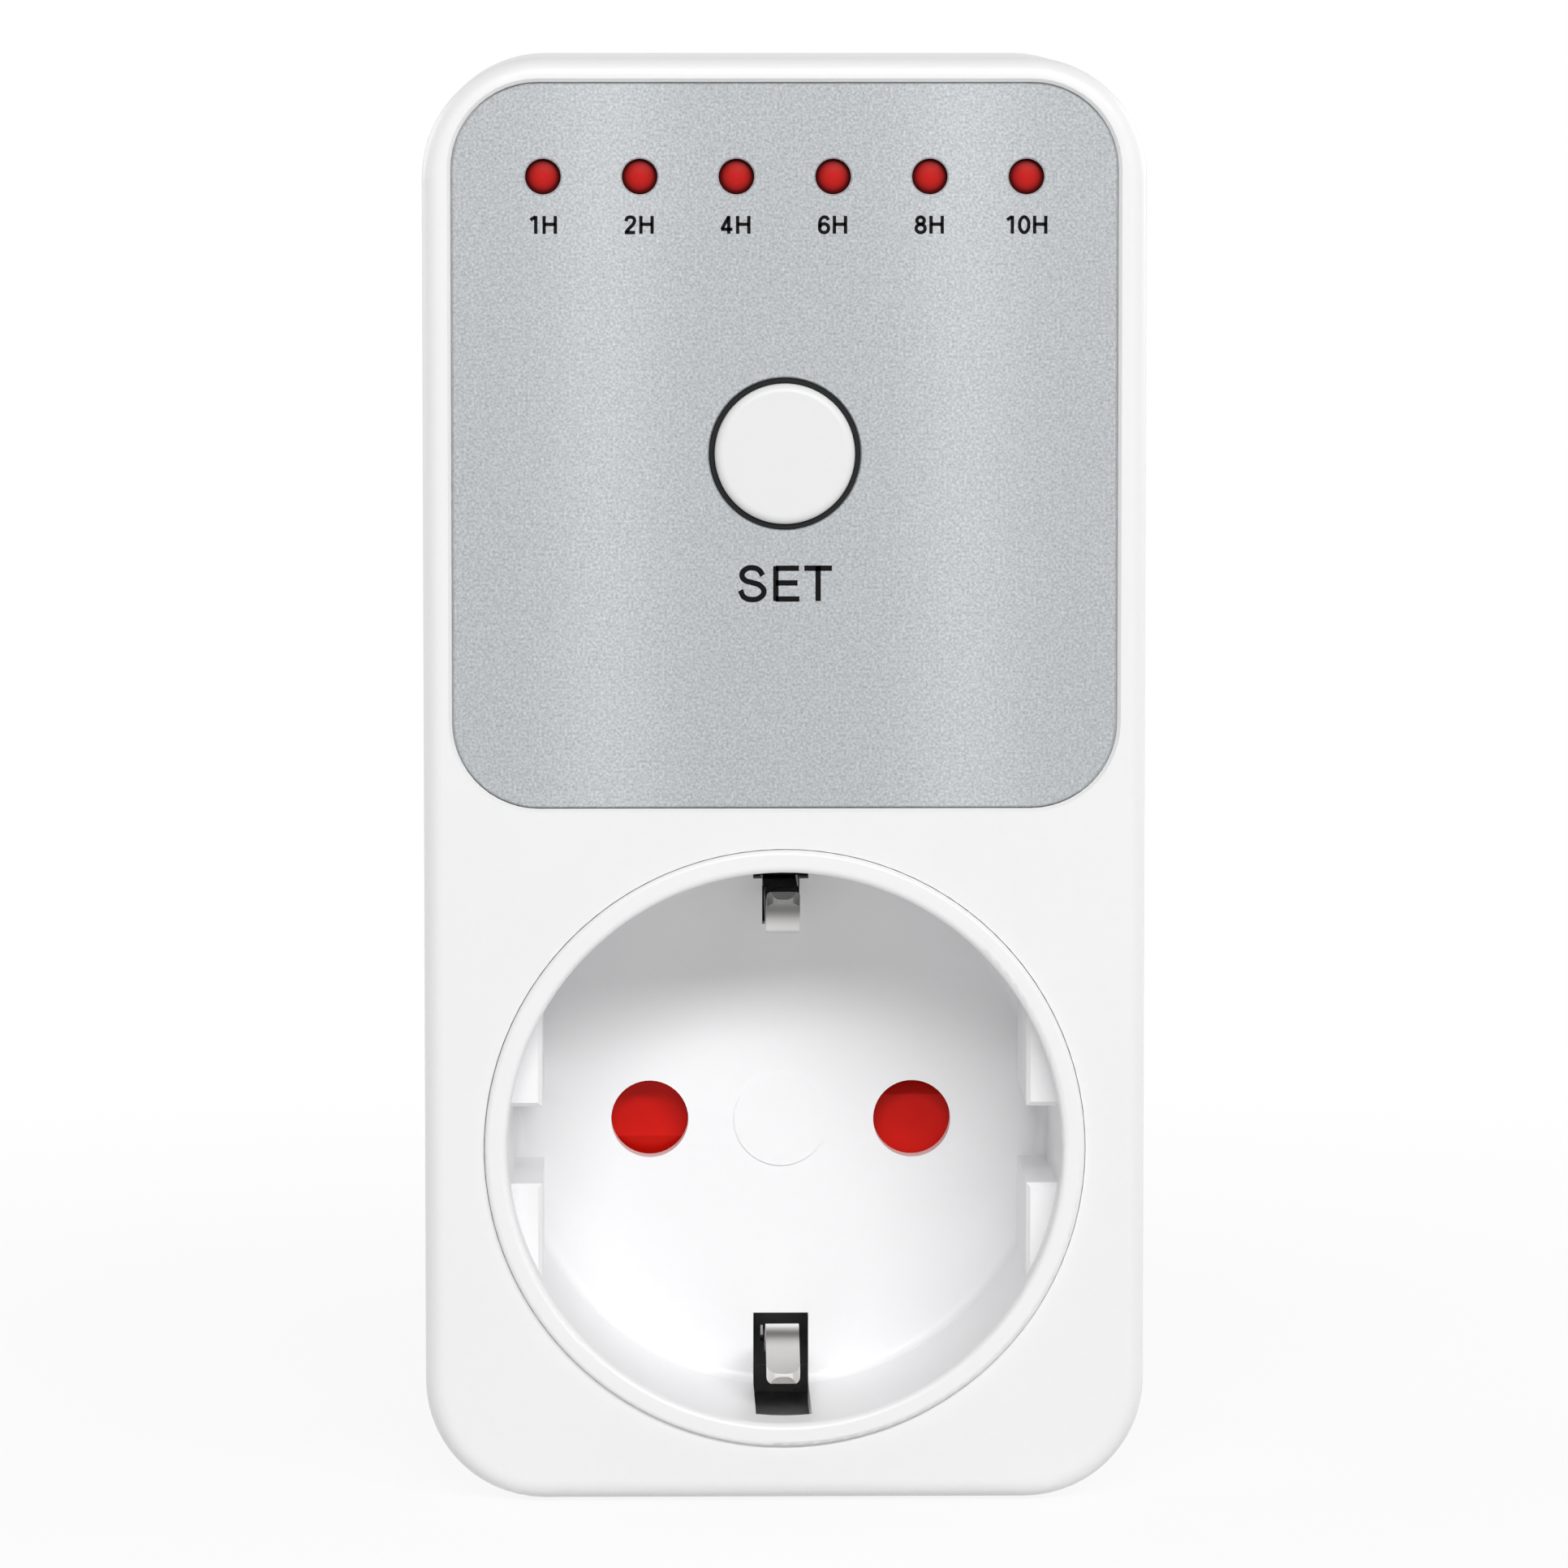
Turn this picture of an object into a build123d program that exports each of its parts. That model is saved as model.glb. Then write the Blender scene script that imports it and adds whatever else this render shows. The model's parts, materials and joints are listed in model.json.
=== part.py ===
from build123d import *
import os
from math import copysign, cos, radians, sin, sqrt, tan

# Plug-in countdown timer: a two-shell housing with a timer panel and a round earthed socket on its
# front, and the matching round plug with two pins on its back.
#
# Frame, in millimetres: the origin is the middle of the plug's end face, between the two pins.
# +Y points out of the plug along the pins, +Z is up, and the panel and the socket face -Y.
# Outlines are drawn in X and Z. A depth is a Y value, more negative towards the front.

# ---------------------------------------------------------------- driving dimensions
BODY_W, BODY_H = 51.2, 102.2        # housing at its parting line, width and height
CORNER_R = 8.6                      # housing corners seen from the front
HOUSING_DEPTH = 36.0                # front face to rear face
REAR_SHELL_DEPTH = 9.0              # parting line to rear face
PLUG_LENGTH = 17.0                  # rear face to the plug's end face
WALL = 2.2
BODY_Z = 25.9                       # middle of the housing above the socket's axis
PIN_PITCH, PIN_R, PIN_LENGTH = 19.0, 2.4, 19.0
SOCKET_DEPTH, SOCKET_R, RIM_R = 17.5, 19.5, 21.2
PANEL_W, PANEL_H, PANEL_R, PANEL_T = 46.6, 50.8, 6.0, 0.5
PANEL_Z = 49.6                      # middle of the panel
BUTTON_Z, BUTTON_R, BUTTON_TRAVEL = 49.1, 4.93, 0.3
LAMP_Z, LAMP_PITCH = 68.5, 6.77
LAMP_NAMES = ["1h", "2h", "4h", "6h", "8h", "10h"]
STRIP_Z, STRIP_T, STRIP_W = 16.6, 0.8, 4.6    # earth strips: middle, thickness, width
FIT = 0.05                          # gap between pieces that only locate each other
SEAT = 0.5                          # how far a post or rib sinks into the wall that carries it

# ---------------------------------------------------------------- depths
REAR_Y = -PLUG_LENGTH
FRONT_Y = REAR_Y - HOUSING_DEPTH
SPLIT_Y = REAR_Y - REAR_SHELL_DEPTH
INNER_FRONT_Y = FRONT_Y + WALL
INNER_REAR_Y = REAR_Y - 2.0
RIM_Y = FRONT_Y - 0.5               # the socket's rim stands proud of the front
FLOOR_Y = RIM_Y + SOCKET_DEPTH      # where an inserted plug comes to rest
FLOOR_BACK_Y = FLOOR_Y + 2.0
SHUTTER_BACK_Y = FLOOR_BACK_Y + 4.0
PLATE_BACK_Y = SHUTTER_BACK_Y + 1.6
PLUG_FLANGE_Y = INNER_REAR_Y - 1.2  # the plug body's flange lies against the rear wall
CHAMBER_END_Y = PLUG_FLANGE_Y - 0.2
PANEL_Y = FRONT_Y + 0.1
POCKET_Y = PANEL_Y + PANEL_T
BOARD_Y = -45.5                     # front face of the circuit board
BOARD_BACK_Y = BOARD_Y + 1.6
PLUG_WALL_Y = -3.0                  # inner side of the plug's end wall

# ---------------------------------------------------------------- places in X and Z
PIN_X = PIN_PITCH / 2
LAMP_X = [(i - (len(LAMP_NAMES) - 1) / 2) * LAMP_PITCH for i in range(len(LAMP_NAMES))]
TOP_BOSSES = [(-18.6, 72.6), (18.6, 72.6)]
BOTTOM_BOSSES = [(-19.3, -18.8), (19.3, -18.8)]
BOARD_POSTS = [(s * 18.0, z) for z in (30.5, 61.5) for s in (-1, 1)]
POST_RING_R = 16.5                  # ring of posts behind the socket's floor
SCREW_POSTS = [(POST_RING_R * cos(radians(a)), POST_RING_R * sin(radians(a))) for a in (45, 225)]
CLAMP_POSTS = [(POST_RING_R * cos(radians(a)), POST_RING_R * sin(radians(a))) for a in (150, 330)]

# ---------------------------------------------------------------- fasteners and leads
HOUSING_SCREW_R, CARRIER_SCREW_R, BOARD_SCREW_R = 1.45, 1.1, 0.8
CLEAR_HOLE = 0.2                    # room round a screw in a hole that it passes through
LEAD_R, BEND_SHARE = 0.9, 0.45      # a bend takes this share of the shorter run beside it

# ---------------------------------------------------------------- parts on the circuit board
BOARD_W, BOARD_LOW_Z, BOARD_HIGH_Z = 43.0, 27.0, 69.8
RELAY_AT, RELAY_SIZE = (-12.0, 45.0), (15.5, 19.0, 15.3)
FILM_AT, FILM_SIZE = (12.2, 40.0), (17.5, 8.0, 13.5)
CAN_AT, CAN_R, CAN_H = (13.0, 52.0), 5.0, 15.0
VARISTOR_AT, VARISTOR_R = (-9.0, 62.5), 5.0
FUSE_AT, FUSE_R, FUSE_L = (0.0, 57.5), 2.0, 9.0
DIODES_AT = [(x, 63.5) for x in (1.0, 4.8, 8.6, 12.4)]
TRANSISTOR_AT = (0.0, 39.0)
CHIP_AT, CHIP_LEGS = (0.0, 34.0), 8
RESISTORS_AT = [(x, 39.5) for x in (-15.0, -11.5, 11.5)]
LEG, LEG_HOLE, LEG_PAST = 0.5, 0.8, 1.0       # square legs, their holes, and how far they stick out
RELAY_LEGS = [(-18.0, 38.0), (-6.0, 38.0), (-18.0, 52.0), (-12.0, 52.0), (-6.0, 52.0)]
FILM_LEGS = [(FILM_AT[0] + s * 7.5, FILM_AT[1]) for s in (-1, 1)]
CAN_LEGS = [(CAN_AT[0] + s * 2.5, CAN_AT[1]) for s in (-1, 1)]
VARISTOR_LEGS = [(VARISTOR_AT[0] + s * 2.5, VARISTOR_AT[1]) for s in (-1, 1)]
FUSE_LEGS = [(FUSE_AT[0] + s * 4.0, FUSE_AT[1]) for s in (-1, 1)]
SWITCH_LEGS = [(sx * 3.25, BUTTON_Z + sz * 2.25) for sx in (-1, 1) for sz in (-1, 1)]
LAMP_LEGS = [(x + s * 1.0, LAMP_Z) for x in LAMP_X for s in (-1, 1)]
BOARD_LEGS = RELAY_LEGS + FILM_LEGS + CAN_LEGS + VARISTOR_LEGS + FUSE_LEGS + SWITCH_LEGS + LAMP_LEGS

TOLERANCE = 0.01                    # for finding edges by where they are
os.makedirs("parts", exist_ok=True)


# ---------------------------------------------------------------- shared operations
def slab(outline, start, end, taper=0.0):
    """An outline in X and Z, pulled along Y from one depth to another."""
    if end < start:
        facing = Plane((0, start, 0), (1, 0, 0), (0, -1, 0))
        return extrude(facing * outline, amount=start - end, taper=taper)
    facing = Plane((0, start, 0), (-1, 0, 0), (0, 1, 0))
    return extrude(facing * mirror(outline, Plane.YZ), amount=end - start, taper=taper)


def rod(radius, start, end, at=(0.0, 0.0)):
    """A round bar along Y."""
    return slab(Pos(*at) * Circle(radius), start, end)


def block(width, height, start, end, at=(0.0, 0.0)):
    """A rectangular bar along Y."""
    return slab(Pos(*at) * Rectangle(width, height), start, end)


def turned(points):
    """A solid turned about the Y axis from a closed outline of (radius, depth) points."""
    return revolve(make_face(Polyline(*points, close=True)), Axis.Y)


def folded(points, thickness, width, bend=None):
    """Sheet metal bent along a path of (depth, height) points, centred on X = 0."""
    path = FilletPolyline(*points, radius=bend) if bend else Polyline(*points)
    return extrude(Plane.YZ * trace(path, thickness), amount=width / 2, both=True)


def legs(places, start, end):
    """Square wire legs along Y."""
    return Part() + [block(LEG, LEG, start, end, at) for at in places]


def lead(route):
    """An insulated wire along a route of points, its bends as wide as the runs allow."""
    points = [Vector(*p) for p in route]
    radii = []
    for before, here, after in zip(points, points[1:], points[2:]):
        turn = radians((here - before).get_angle(after - here))
        shorter = min((here - before).length, (after - here).length)
        radii.append(BEND_SHARE * shorter / tan(turn / 2))
    path = FilletPolyline(*points, radius=radii)
    wire = sweep(Plane(path @ 0, z_dir=path % 0) * Circle(LEAD_R), path)
    print("lead bends", [round(r, 1) for r in radii], "length", round(path.length, 1))
    return wire


def edges_at(solid, depth):
    """The edges that lie wholly at one depth."""
    boxes = [(edge, edge.bounding_box()) for edge in solid.edges()]
    return [edge for edge, box in boxes
            if abs(box.min.Y - depth) < TOLERANCE and abs(box.max.Y - depth) < TOLERANCE]


def round_rim(solid, radius, depth, size):
    """Rounds the circular edge of one radius about the Y axis at one depth."""
    circles = solid.edges().filter_by(GeomType.CIRCLE)
    chosen = [edge for edge in circles
              if abs(edge.radius - radius) < TOLERANCE and abs(edge.arc_center.Y - depth) < TOLERANCE]
    return fillet(chosen, size)


def save(name, solid):
    export_step(solid, f"parts/{name}.step")


# ---------------------------------------------------------------- housing
SIDE_DRAFT, REAR_DRAFT = 0.4, 3.0
FRONT_EDGE_R, REAR_EDGE_R, SEAM = 1.3, 1.4, 0.2
LIP_T, LIP_H = 1.0, 1.5             # lip of the rear shell that locates inside the front shell
POCKET_GAP, POCKET_CHAMFER = 0.1, 0.25
FRONT_BOSS_R, REAR_BOSS_R, HEAD_HOLE_R, BOARD_POST_R = 2.6, 3.7, 2.7, 2.2
HEAD_SEAT_Y = REAR_Y - 4.0
SCREW_HOLE_DEPTH, BOARD_HOLE_END = 12.0, 0.6
RIB_T, SIDE_RIB_W, SIDE_RIBS_Z = 1.0, 2.0, (38.0, 46.0, 54.0)
REAR_RIB_H, REAR_RIBS_Z, REAR_RIBS_X = 3.0, (30.0, 44.0, 58.0), (-12.0, 12.0)
REAR_RIB_W, REAR_RIB_L, REAR_RIB_MID_Z = 45.2, 40.0, 45.0
PLUG_R, PLUG_FLAT_X, PLUG_KEY_Z, PLUG_HOLLOW_R = 18.4, 16.8, 2.5, 14.4
CHANNEL_Z, CHANNEL_W = STRIP_Z - STRIP_T / 2, 6.0


def body_outline(inset=0.0):
    return Pos(0, BODY_Z) * RectangleRounded(BODY_W - 2 * inset, BODY_H - 2 * inset, CORNER_R - inset)


def panel_outline(grow=0.0):
    return Pos(0, PANEL_Z) * RectangleRounded(PANEL_W + 2 * grow, PANEL_H + 2 * grow, PANEL_R + grow)


def front_housing():
    """Front shell: pocket for the panel, hole for the socket, screw bosses, board posts and ribs."""
    shell = slab(body_outline(), SPLIT_Y, FRONT_Y, taper=SIDE_DRAFT)
    shell = fillet(edges_at(shell, FRONT_Y), FRONT_EDGE_R)
    shell = chamfer(edges_at(shell, SPLIT_Y), SEAM)
    shell -= slab(body_outline(WALL), SPLIT_Y, INNER_FRONT_Y, taper=SIDE_DRAFT)
    for at in TOP_BOSSES + BOTTOM_BOSSES:
        shell += rod(FRONT_BOSS_R, SPLIT_Y, INNER_FRONT_Y - SEAT, at)
        shell -= rod(HOUSING_SCREW_R, SPLIT_Y, SPLIT_Y - SCREW_HOLE_DEPTH, at)
    for at in BOARD_POSTS:
        shell += rod(BOARD_POST_R, BOARD_Y, INNER_FRONT_Y - SEAT, at)
        shell -= rod(BOARD_SCREW_R, BOARD_Y, INNER_FRONT_Y + BOARD_HOLE_END, at)
    for x in (WALL - BODY_W / 2, BODY_W / 2 - WALL):
        for z in SIDE_RIBS_Z:
            shell += block(SIDE_RIB_W, RIB_T, BOARD_BACK_Y, INNER_FRONT_Y - SEAT, (x, z))
    shell -= slab(body_outline(WALL - LIP_T - FIT), SPLIT_Y, SPLIT_Y - LIP_H - FIT)
    shell -= slab(panel_outline(POCKET_GAP), POCKET_Y, FRONT_Y)
    shell -= slab(panel_outline(POCKET_GAP), FRONT_Y + POCKET_CHAMFER, FRONT_Y, taper=-45)
    shell -= rod(RIM_R + FIT, SPLIT_Y, FRONT_Y)
    shell -= rod(RING_R + FIT, INNER_FRONT_Y, FRONT_Y, (0, BUTTON_Z))
    for x in LAMP_X:
        shell -= rod(LAMP_R + LAMP_GAP, INNER_FRONT_Y, FRONT_Y, (x, LAMP_Z))
    return shell


def plug_outline(gap=0.0):
    """Round plug with a flat and a key on each side."""
    outline = Circle(PLUG_R + gap) & Rectangle(2 * (PLUG_FLAT_X + gap), 3 * PLUG_R)
    return outline + (Circle(PLUG_R + gap) & Rectangle(3 * PLUG_R, 2 * (PLUG_KEY_Z + gap)))


def rear_housing():
    """Rear shell: a lip round its rim, stiffening ribs, screw bosses and the hole for the plug body."""
    shell = slab(body_outline(), SPLIT_Y, REAR_Y, taper=REAR_DRAFT)
    shell = fillet(edges_at(shell, REAR_Y), REAR_EDGE_R)
    shell = chamfer(edges_at(shell, SPLIT_Y), SEAM)
    shell -= slab(body_outline(WALL), SPLIT_Y, INNER_REAR_Y, taper=REAR_DRAFT)
    shell += slab(body_outline(WALL - LIP_T) - body_outline(WALL), SPLIT_Y + SEAT, SPLIT_Y - LIP_H)
    shell -= slab(plug_outline(FIT), INNER_REAR_Y, REAR_Y)
    for at in TOP_BOSSES + BOTTOM_BOSSES:
        shell += rod(REAR_BOSS_R, INNER_REAR_Y + SEAT, SPLIT_Y, at)
        shell -= rod(HEAD_HOLE_R, REAR_Y, HEAD_SEAT_Y, at)
        shell -= rod(HOUSING_SCREW_R + CLEAR_HOLE, HEAD_SEAT_Y, SPLIT_Y, at)
    for z in REAR_RIBS_Z:
        shell += block(REAR_RIB_W, RIB_T, INNER_REAR_Y + SEAT, INNER_REAR_Y - REAR_RIB_H, (0, z))
    for x in REAR_RIBS_X:
        rib_at = (x, REAR_RIB_MID_Z)
        shell += block(RIB_T, REAR_RIB_L, INNER_REAR_Y + SEAT, INNER_REAR_Y - REAR_RIB_H, rib_at)
    return shell


# ---------------------------------------------------------------- panel, button and lamps
RING_R, RING_BORE_R, RING_FLANGE = 5.27, 4.98, 1.3
RING_BACK_Y = INNER_FRONT_Y + 0.5
BUTTON_Y = FRONT_Y - 0.6
BUTTON_FLANGE, BUTTON_FLANGE_T, BUTTON_EDGE_R = 0.75, 0.6, 0.6
BUTTON_SIDE_T, BUTTON_TOP_T, STEM_R = 0.95, 1.2, 1.6
BUTTON_FLANGE_Y = RING_BACK_Y + FIT
BUTTON_BACK_Y = BUTTON_FLANGE_Y + BUTTON_FLANGE_T
STEM_END_Y = -49.45
PLUNGER_Y, PLUNGER_R, PLUNGER_HOLE_R = STEM_END_Y + FIT, 1.7, 1.8
SWITCH_Y, SWITCH_SEAT_Y, SWITCH_W, SWITCH_EDGE = BOARD_Y - 3.5, BOARD_Y - 2.7, 6.0, 0.3
SWITCH_LEG_W, SWITCH_LEG_T, SWITCH_LEG_INSET = 0.8, 0.6, 0.1
PLUNGER_BACK_Y = SWITCH_SEAT_Y - BUTTON_TRAVEL - 0.1
LAMP_R, LAMP_DOME_R, LAMP_RIM_R, LAMP_RIM_T = 1.45, 2.4, 1.65, 0.5
LAMP_TIP_Y, LAMP_BACK_Y = FRONT_Y + 0.26, BOARD_Y - 1.9
LAMP_HOLE_R, LAMP_GAP = 1.25, 0.15  # the panel's holes, and the room in the housing's
HOLDER_END, HOLDER_H = 2.5, 2.5
PANEL_EDGE = 0.1


def face_panel():
    """Thin silver sheet in the pocket, pierced for the lamps and the button."""
    sheet = panel_outline() - Pos(0, BUTTON_Z) * Circle(RING_R + FIT)
    for x in LAMP_X:
        sheet -= Pos(x, LAMP_Z) * Circle(LAMP_HOLE_R)
    panel = slab(sheet, POCKET_Y, PANEL_Y)
    return chamfer(edges_at(panel, PANEL_Y), PANEL_EDGE)


def button_ring():
    """Dark liner of the button's hole, with a flange behind the front wall."""
    flange_r = RING_R + RING_FLANGE
    ring = turned([(RING_BORE_R, PANEL_Y - FIT), (RING_R, PANEL_Y - FIT), (RING_R, INNER_FRONT_Y),
                   (flange_r, INNER_FRONT_Y), (flange_r, RING_BACK_Y), (RING_BORE_R, RING_BACK_Y)])
    return Pos(0, 0, BUTTON_Z) * ring


def set_button():
    """Hollow push button: rounded cap, flange that keeps it in, and a stem on the switch."""
    cap = rod(BUTTON_R, BUTTON_BACK_Y, BUTTON_Y)
    cap = fillet(edges_at(cap, BUTTON_Y), BUTTON_EDGE_R)
    cap += rod(RING_R + BUTTON_FLANGE, BUTTON_BACK_Y, BUTTON_FLANGE_Y)
    cap -= rod(BUTTON_R - BUTTON_SIDE_T, BUTTON_BACK_Y, BUTTON_Y + BUTTON_TOP_T)
    cap += rod(STEM_R, STEM_END_Y, BUTTON_Y + BUTTON_TOP_T - SEAT)
    return Pos(0, 0, BUTTON_Z) * cap


def switch_body():
    """Tactile switch under the button, open at the front for its plunger, on four flat legs."""
    case = block(SWITCH_W, SWITCH_W, BOARD_Y, SWITCH_Y)
    case = chamfer(edges_at(case, SWITCH_Y), SWITCH_EDGE)
    case -= rod(PLUNGER_HOLE_R, SWITCH_SEAT_Y, SWITCH_Y)
    case = Pos(0, 0, BUTTON_Z) * case
    foot_y = BOARD_Y - SWITCH_LEG_T
    for x, z in SWITCH_LEGS:
        case += block(LEG, SWITCH_LEG_W, foot_y, BOARD_Y, (x - copysign(SWITCH_LEG_INSET, x), z))
    return case + legs(SWITCH_LEGS, foot_y, BOARD_BACK_Y + LEG_PAST)


def switch_plunger():
    """Plunger of the tactile switch, pressed by the button's stem, with room for the travel."""
    return rod(PLUNGER_R, PLUNGER_BACK_Y, PLUNGER_Y, (0, BUTTON_Z))


def lamp(x):
    """Red lamp with a low dome that shows in the panel's hole, and a rim at its foot."""
    sag = LAMP_DOME_R - sqrt(LAMP_DOME_R ** 2 - LAMP_R ** 2)
    body = turned([(0, LAMP_TIP_Y + sag), (LAMP_R, LAMP_TIP_Y + sag), (LAMP_R, LAMP_BACK_Y - LAMP_RIM_T),
                   (LAMP_RIM_R, LAMP_BACK_Y - LAMP_RIM_T), (LAMP_RIM_R, LAMP_BACK_Y), (0, LAMP_BACK_Y)])
    dome = Pos(0, LAMP_TIP_Y + LAMP_DOME_R, 0) * Sphere(LAMP_DOME_R)
    dome &= rod(LAMP_R, LAMP_TIP_Y + sag, LAMP_TIP_Y)
    return Pos(x, 0, LAMP_Z) * (body + dome)


def led_holder():
    """Bar that keeps the lamps in line and at their height above the board."""
    width = LAMP_X[-1] - LAMP_X[0] + 2 * HOLDER_END
    bar = block(width, HOLDER_H, BOARD_Y, LAMP_BACK_Y, (0, LAMP_Z))
    for at in LAMP_LEGS:
        bar -= block(LEG + 2 * FIT, LEG + 2 * FIT, BOARD_Y, LAMP_BACK_Y, at)
    return bar


# ---------------------------------------------------------------- circuit board
BOARD_CORNER_R, BOSS_CLEARANCE = 1.5, 0.4
RELAY_CORNER_R, CASE_EDGE = 0.8, 0.4
CAN_GROOVE, CAN_GROOVE_Y, CAN_GROOVE_END_Y = 0.4, 1.5, 2.7
VARISTOR_T, VARISTOR_EDGE, VARISTOR_LIFT = 3.6, 0.6, 1.5    # a lift is the room under a part
FUSE_CAP_L, FUSE_GLASS_R, FUSE_LIFT = 2.0, 1.85, 0.3
DIODE_R, DIODE_L, DIODE_LIFT = 1.3, 5.0, 0.3
RESISTOR_R, RESISTOR_L, RESISTOR_LIFT, WIRE_END = 1.15, 6.3, 0.25, 1.1
CHIP_L, CHIP_W, CHIP_TOP, CHIP_LIFT, CHIP_EDGE = 10.0, 4.0, 1.8, 0.2, 0.3
CHIP_PITCH, CHIP_LEG_W, CHIP_LEG_T, CHIP_LEG_REACH, CHIP_LEG_Y = 1.2, 0.4, 0.3, 2.95, BOARD_Y - 1.1
TRANSISTOR_R, TRANSISTOR_FLAT, TRANSISTOR_LIFT, TRANSISTOR_H, TRANSISTOR_PITCH = 2.3, 1.3, 2.5, 4.7, 1.27


def control_board():
    """Circuit board on four posts, drilled for every leg that goes through it."""
    middle = (BOARD_LOW_Z + BOARD_HIGH_Z) / 2
    outline = Pos(0, middle) * RectangleRounded(BOARD_W, BOARD_HIGH_Z - BOARD_LOW_Z, BOARD_CORNER_R)
    for at in TOP_BOSSES:
        outline -= Pos(*at) * Circle(FRONT_BOSS_R + BOSS_CLEARANCE)
    for at in BOARD_POSTS:
        outline -= Pos(*at) * Circle(BOARD_SCREW_R + CLEAR_HOLE)
    for at in BOARD_LEGS:
        outline -= Pos(*at) * Rectangle(LEG_HOLE, LEG_HOLE)
    return slab(outline, BOARD_BACK_Y, BOARD_Y)


def relay():
    """Sealed relay that switches the socket."""
    width, height, depth = RELAY_SIZE
    case = block(width, height, BOARD_BACK_Y, BOARD_BACK_Y + depth, RELAY_AT)
    case = fillet(case.edges().filter_by(Axis.Y), RELAY_CORNER_R)
    case = chamfer(edges_at(case, BOARD_BACK_Y + depth), CASE_EDGE)
    return case + legs(RELAY_LEGS, BOARD_BACK_Y, BOARD_Y - LEG_PAST)


def film_capacitor():
    """Boxed capacitor that drops the mains voltage."""
    width, height, depth = FILM_SIZE
    case = block(width, height, BOARD_BACK_Y, BOARD_BACK_Y + depth, FILM_AT)
    case = chamfer(edges_at(case, BOARD_BACK_Y + depth), CASE_EDGE)
    return case + legs(FILM_LEGS, BOARD_BACK_Y, BOARD_Y - LEG_PAST)


def electrolytic_capacitor():
    """Can capacitor with its crimped groove near the board."""
    y, neck_r = BOARD_BACK_Y, CAN_R - CAN_GROOVE
    can = turned([(0, y), (CAN_R, y), (CAN_R, y + CAN_GROOVE_Y), (neck_r, y + CAN_GROOVE_Y + CAN_GROOVE),
                  (neck_r, y + CAN_GROOVE_END_Y - CAN_GROOVE), (CAN_R, y + CAN_GROOVE_END_Y),
                  (CAN_R, y + CAN_H - CASE_EDGE), (CAN_R - CASE_EDGE, y + CAN_H), (0, y + CAN_H)])
    return Pos(CAN_AT[0], 0, CAN_AT[1]) * can + legs(CAN_LEGS, y, BOARD_Y - LEG_PAST)


def varistor():
    """Surge-absorbing disc, standing on its two legs."""
    x, z = VARISTOR_AT
    middle = BOARD_BACK_Y + VARISTOR_LIFT + VARISTOR_R
    disc = Pos(x, middle, z) * Cylinder(VARISTOR_R, VARISTOR_T)
    disc = chamfer(disc.edges(), VARISTOR_EDGE)
    return disc + legs(VARISTOR_LEGS, middle - VARISTOR_R / 2, BOARD_Y - LEG_PAST)


def fuse():
    """Wire-ended fuse lying on the board, with a metal cap on each end."""
    x, z = FUSE_AT
    y = BOARD_BACK_Y + FUSE_LIFT + FUSE_R
    tube = Pos(x, y, z) * Rot(0, 90, 0) * Cylinder(FUSE_GLASS_R, FUSE_L)
    for end in (-1, 1):
        cap_x = x + end * (FUSE_L - FUSE_CAP_L) / 2
        tube += Pos(cap_x, y, z) * Rot(0, 90, 0) * Cylinder(FUSE_R, FUSE_CAP_L)
    return tube + legs(FUSE_LEGS, y, BOARD_Y - LEG_PAST)


def axial_part(at, radius, length, surface, lift):
    """Small part lying along Z above one face of the board, its wires bent down to that face."""
    x, z = at
    side = 1 if lift > 0 else -1
    y = surface + lift + side * radius
    body = Pos(x, y, z) * Cylinder(radius, length)
    for end in (-1, 1):
        bend_z = z + end * (length / 2 + WIRE_END - LEG / 2)
        body += Pos(x, y, z + end * (length + WIRE_END) / 2) * Box(LEG, LEG, WIRE_END)
        body += block(LEG, LEG, surface, y + side * LEG / 2, (x, bend_z))
    return body


def rectifier_diodes():
    """Four diodes side by side, behind the board."""
    return Part() + [axial_part(at, DIODE_R, DIODE_L, BOARD_BACK_Y, DIODE_LIFT) for at in DIODES_AT]


def resistors():
    """Three resistors on the front of the board."""
    return Part() + [axial_part(at, RESISTOR_R, RESISTOR_L, BOARD_Y, -RESISTOR_LIFT) for at in RESISTORS_AT]


def timer_chip():
    """Timer chip on the front of the board, with a row of bent legs on each side."""
    x, z = CHIP_AT
    top_y = BOARD_Y - CHIP_TOP
    chip = block(CHIP_L, CHIP_W, BOARD_Y - CHIP_LIFT, top_y, CHIP_AT)
    chip = chamfer(edges_at(chip, top_y), CHIP_EDGE)
    reach = CHIP_LEG_REACH - CHIP_W / 2
    for i in range(CHIP_LEGS):
        leg_x = x + (i - (CHIP_LEGS - 1) / 2) * CHIP_PITCH
        for side in (-1, 1):
            flat_z = z + side * (CHIP_W + reach) / 2
            down_z = z + side * (CHIP_LEG_REACH - CHIP_LEG_T / 2)
            chip += block(CHIP_LEG_W, reach, CHIP_LEG_Y + CHIP_LEG_T, CHIP_LEG_Y, (leg_x, flat_z))
            chip += block(CHIP_LEG_W, CHIP_LEG_T, BOARD_Y, CHIP_LEG_Y, (leg_x, down_z))
    return chip


def driver_transistor():
    """Half-round transistor that drives the relay's coil."""
    x, z = TRANSISTOR_AT
    cut = Pos(0, -TRANSISTOR_FLAT - TRANSISTOR_R) * Rectangle(3 * TRANSISTOR_R, 2 * TRANSISTOR_R)
    outline = Circle(TRANSISTOR_R) - cut
    foot_y = BOARD_BACK_Y + TRANSISTOR_LIFT
    case = slab(Pos(x, z) * outline, foot_y, foot_y + TRANSISTOR_H)
    wires = [(x + i * TRANSISTOR_PITCH, z) for i in (-1, 0, 1)]
    return case + legs(wires, BOARD_BACK_Y, foot_y + SEAT)


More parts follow.
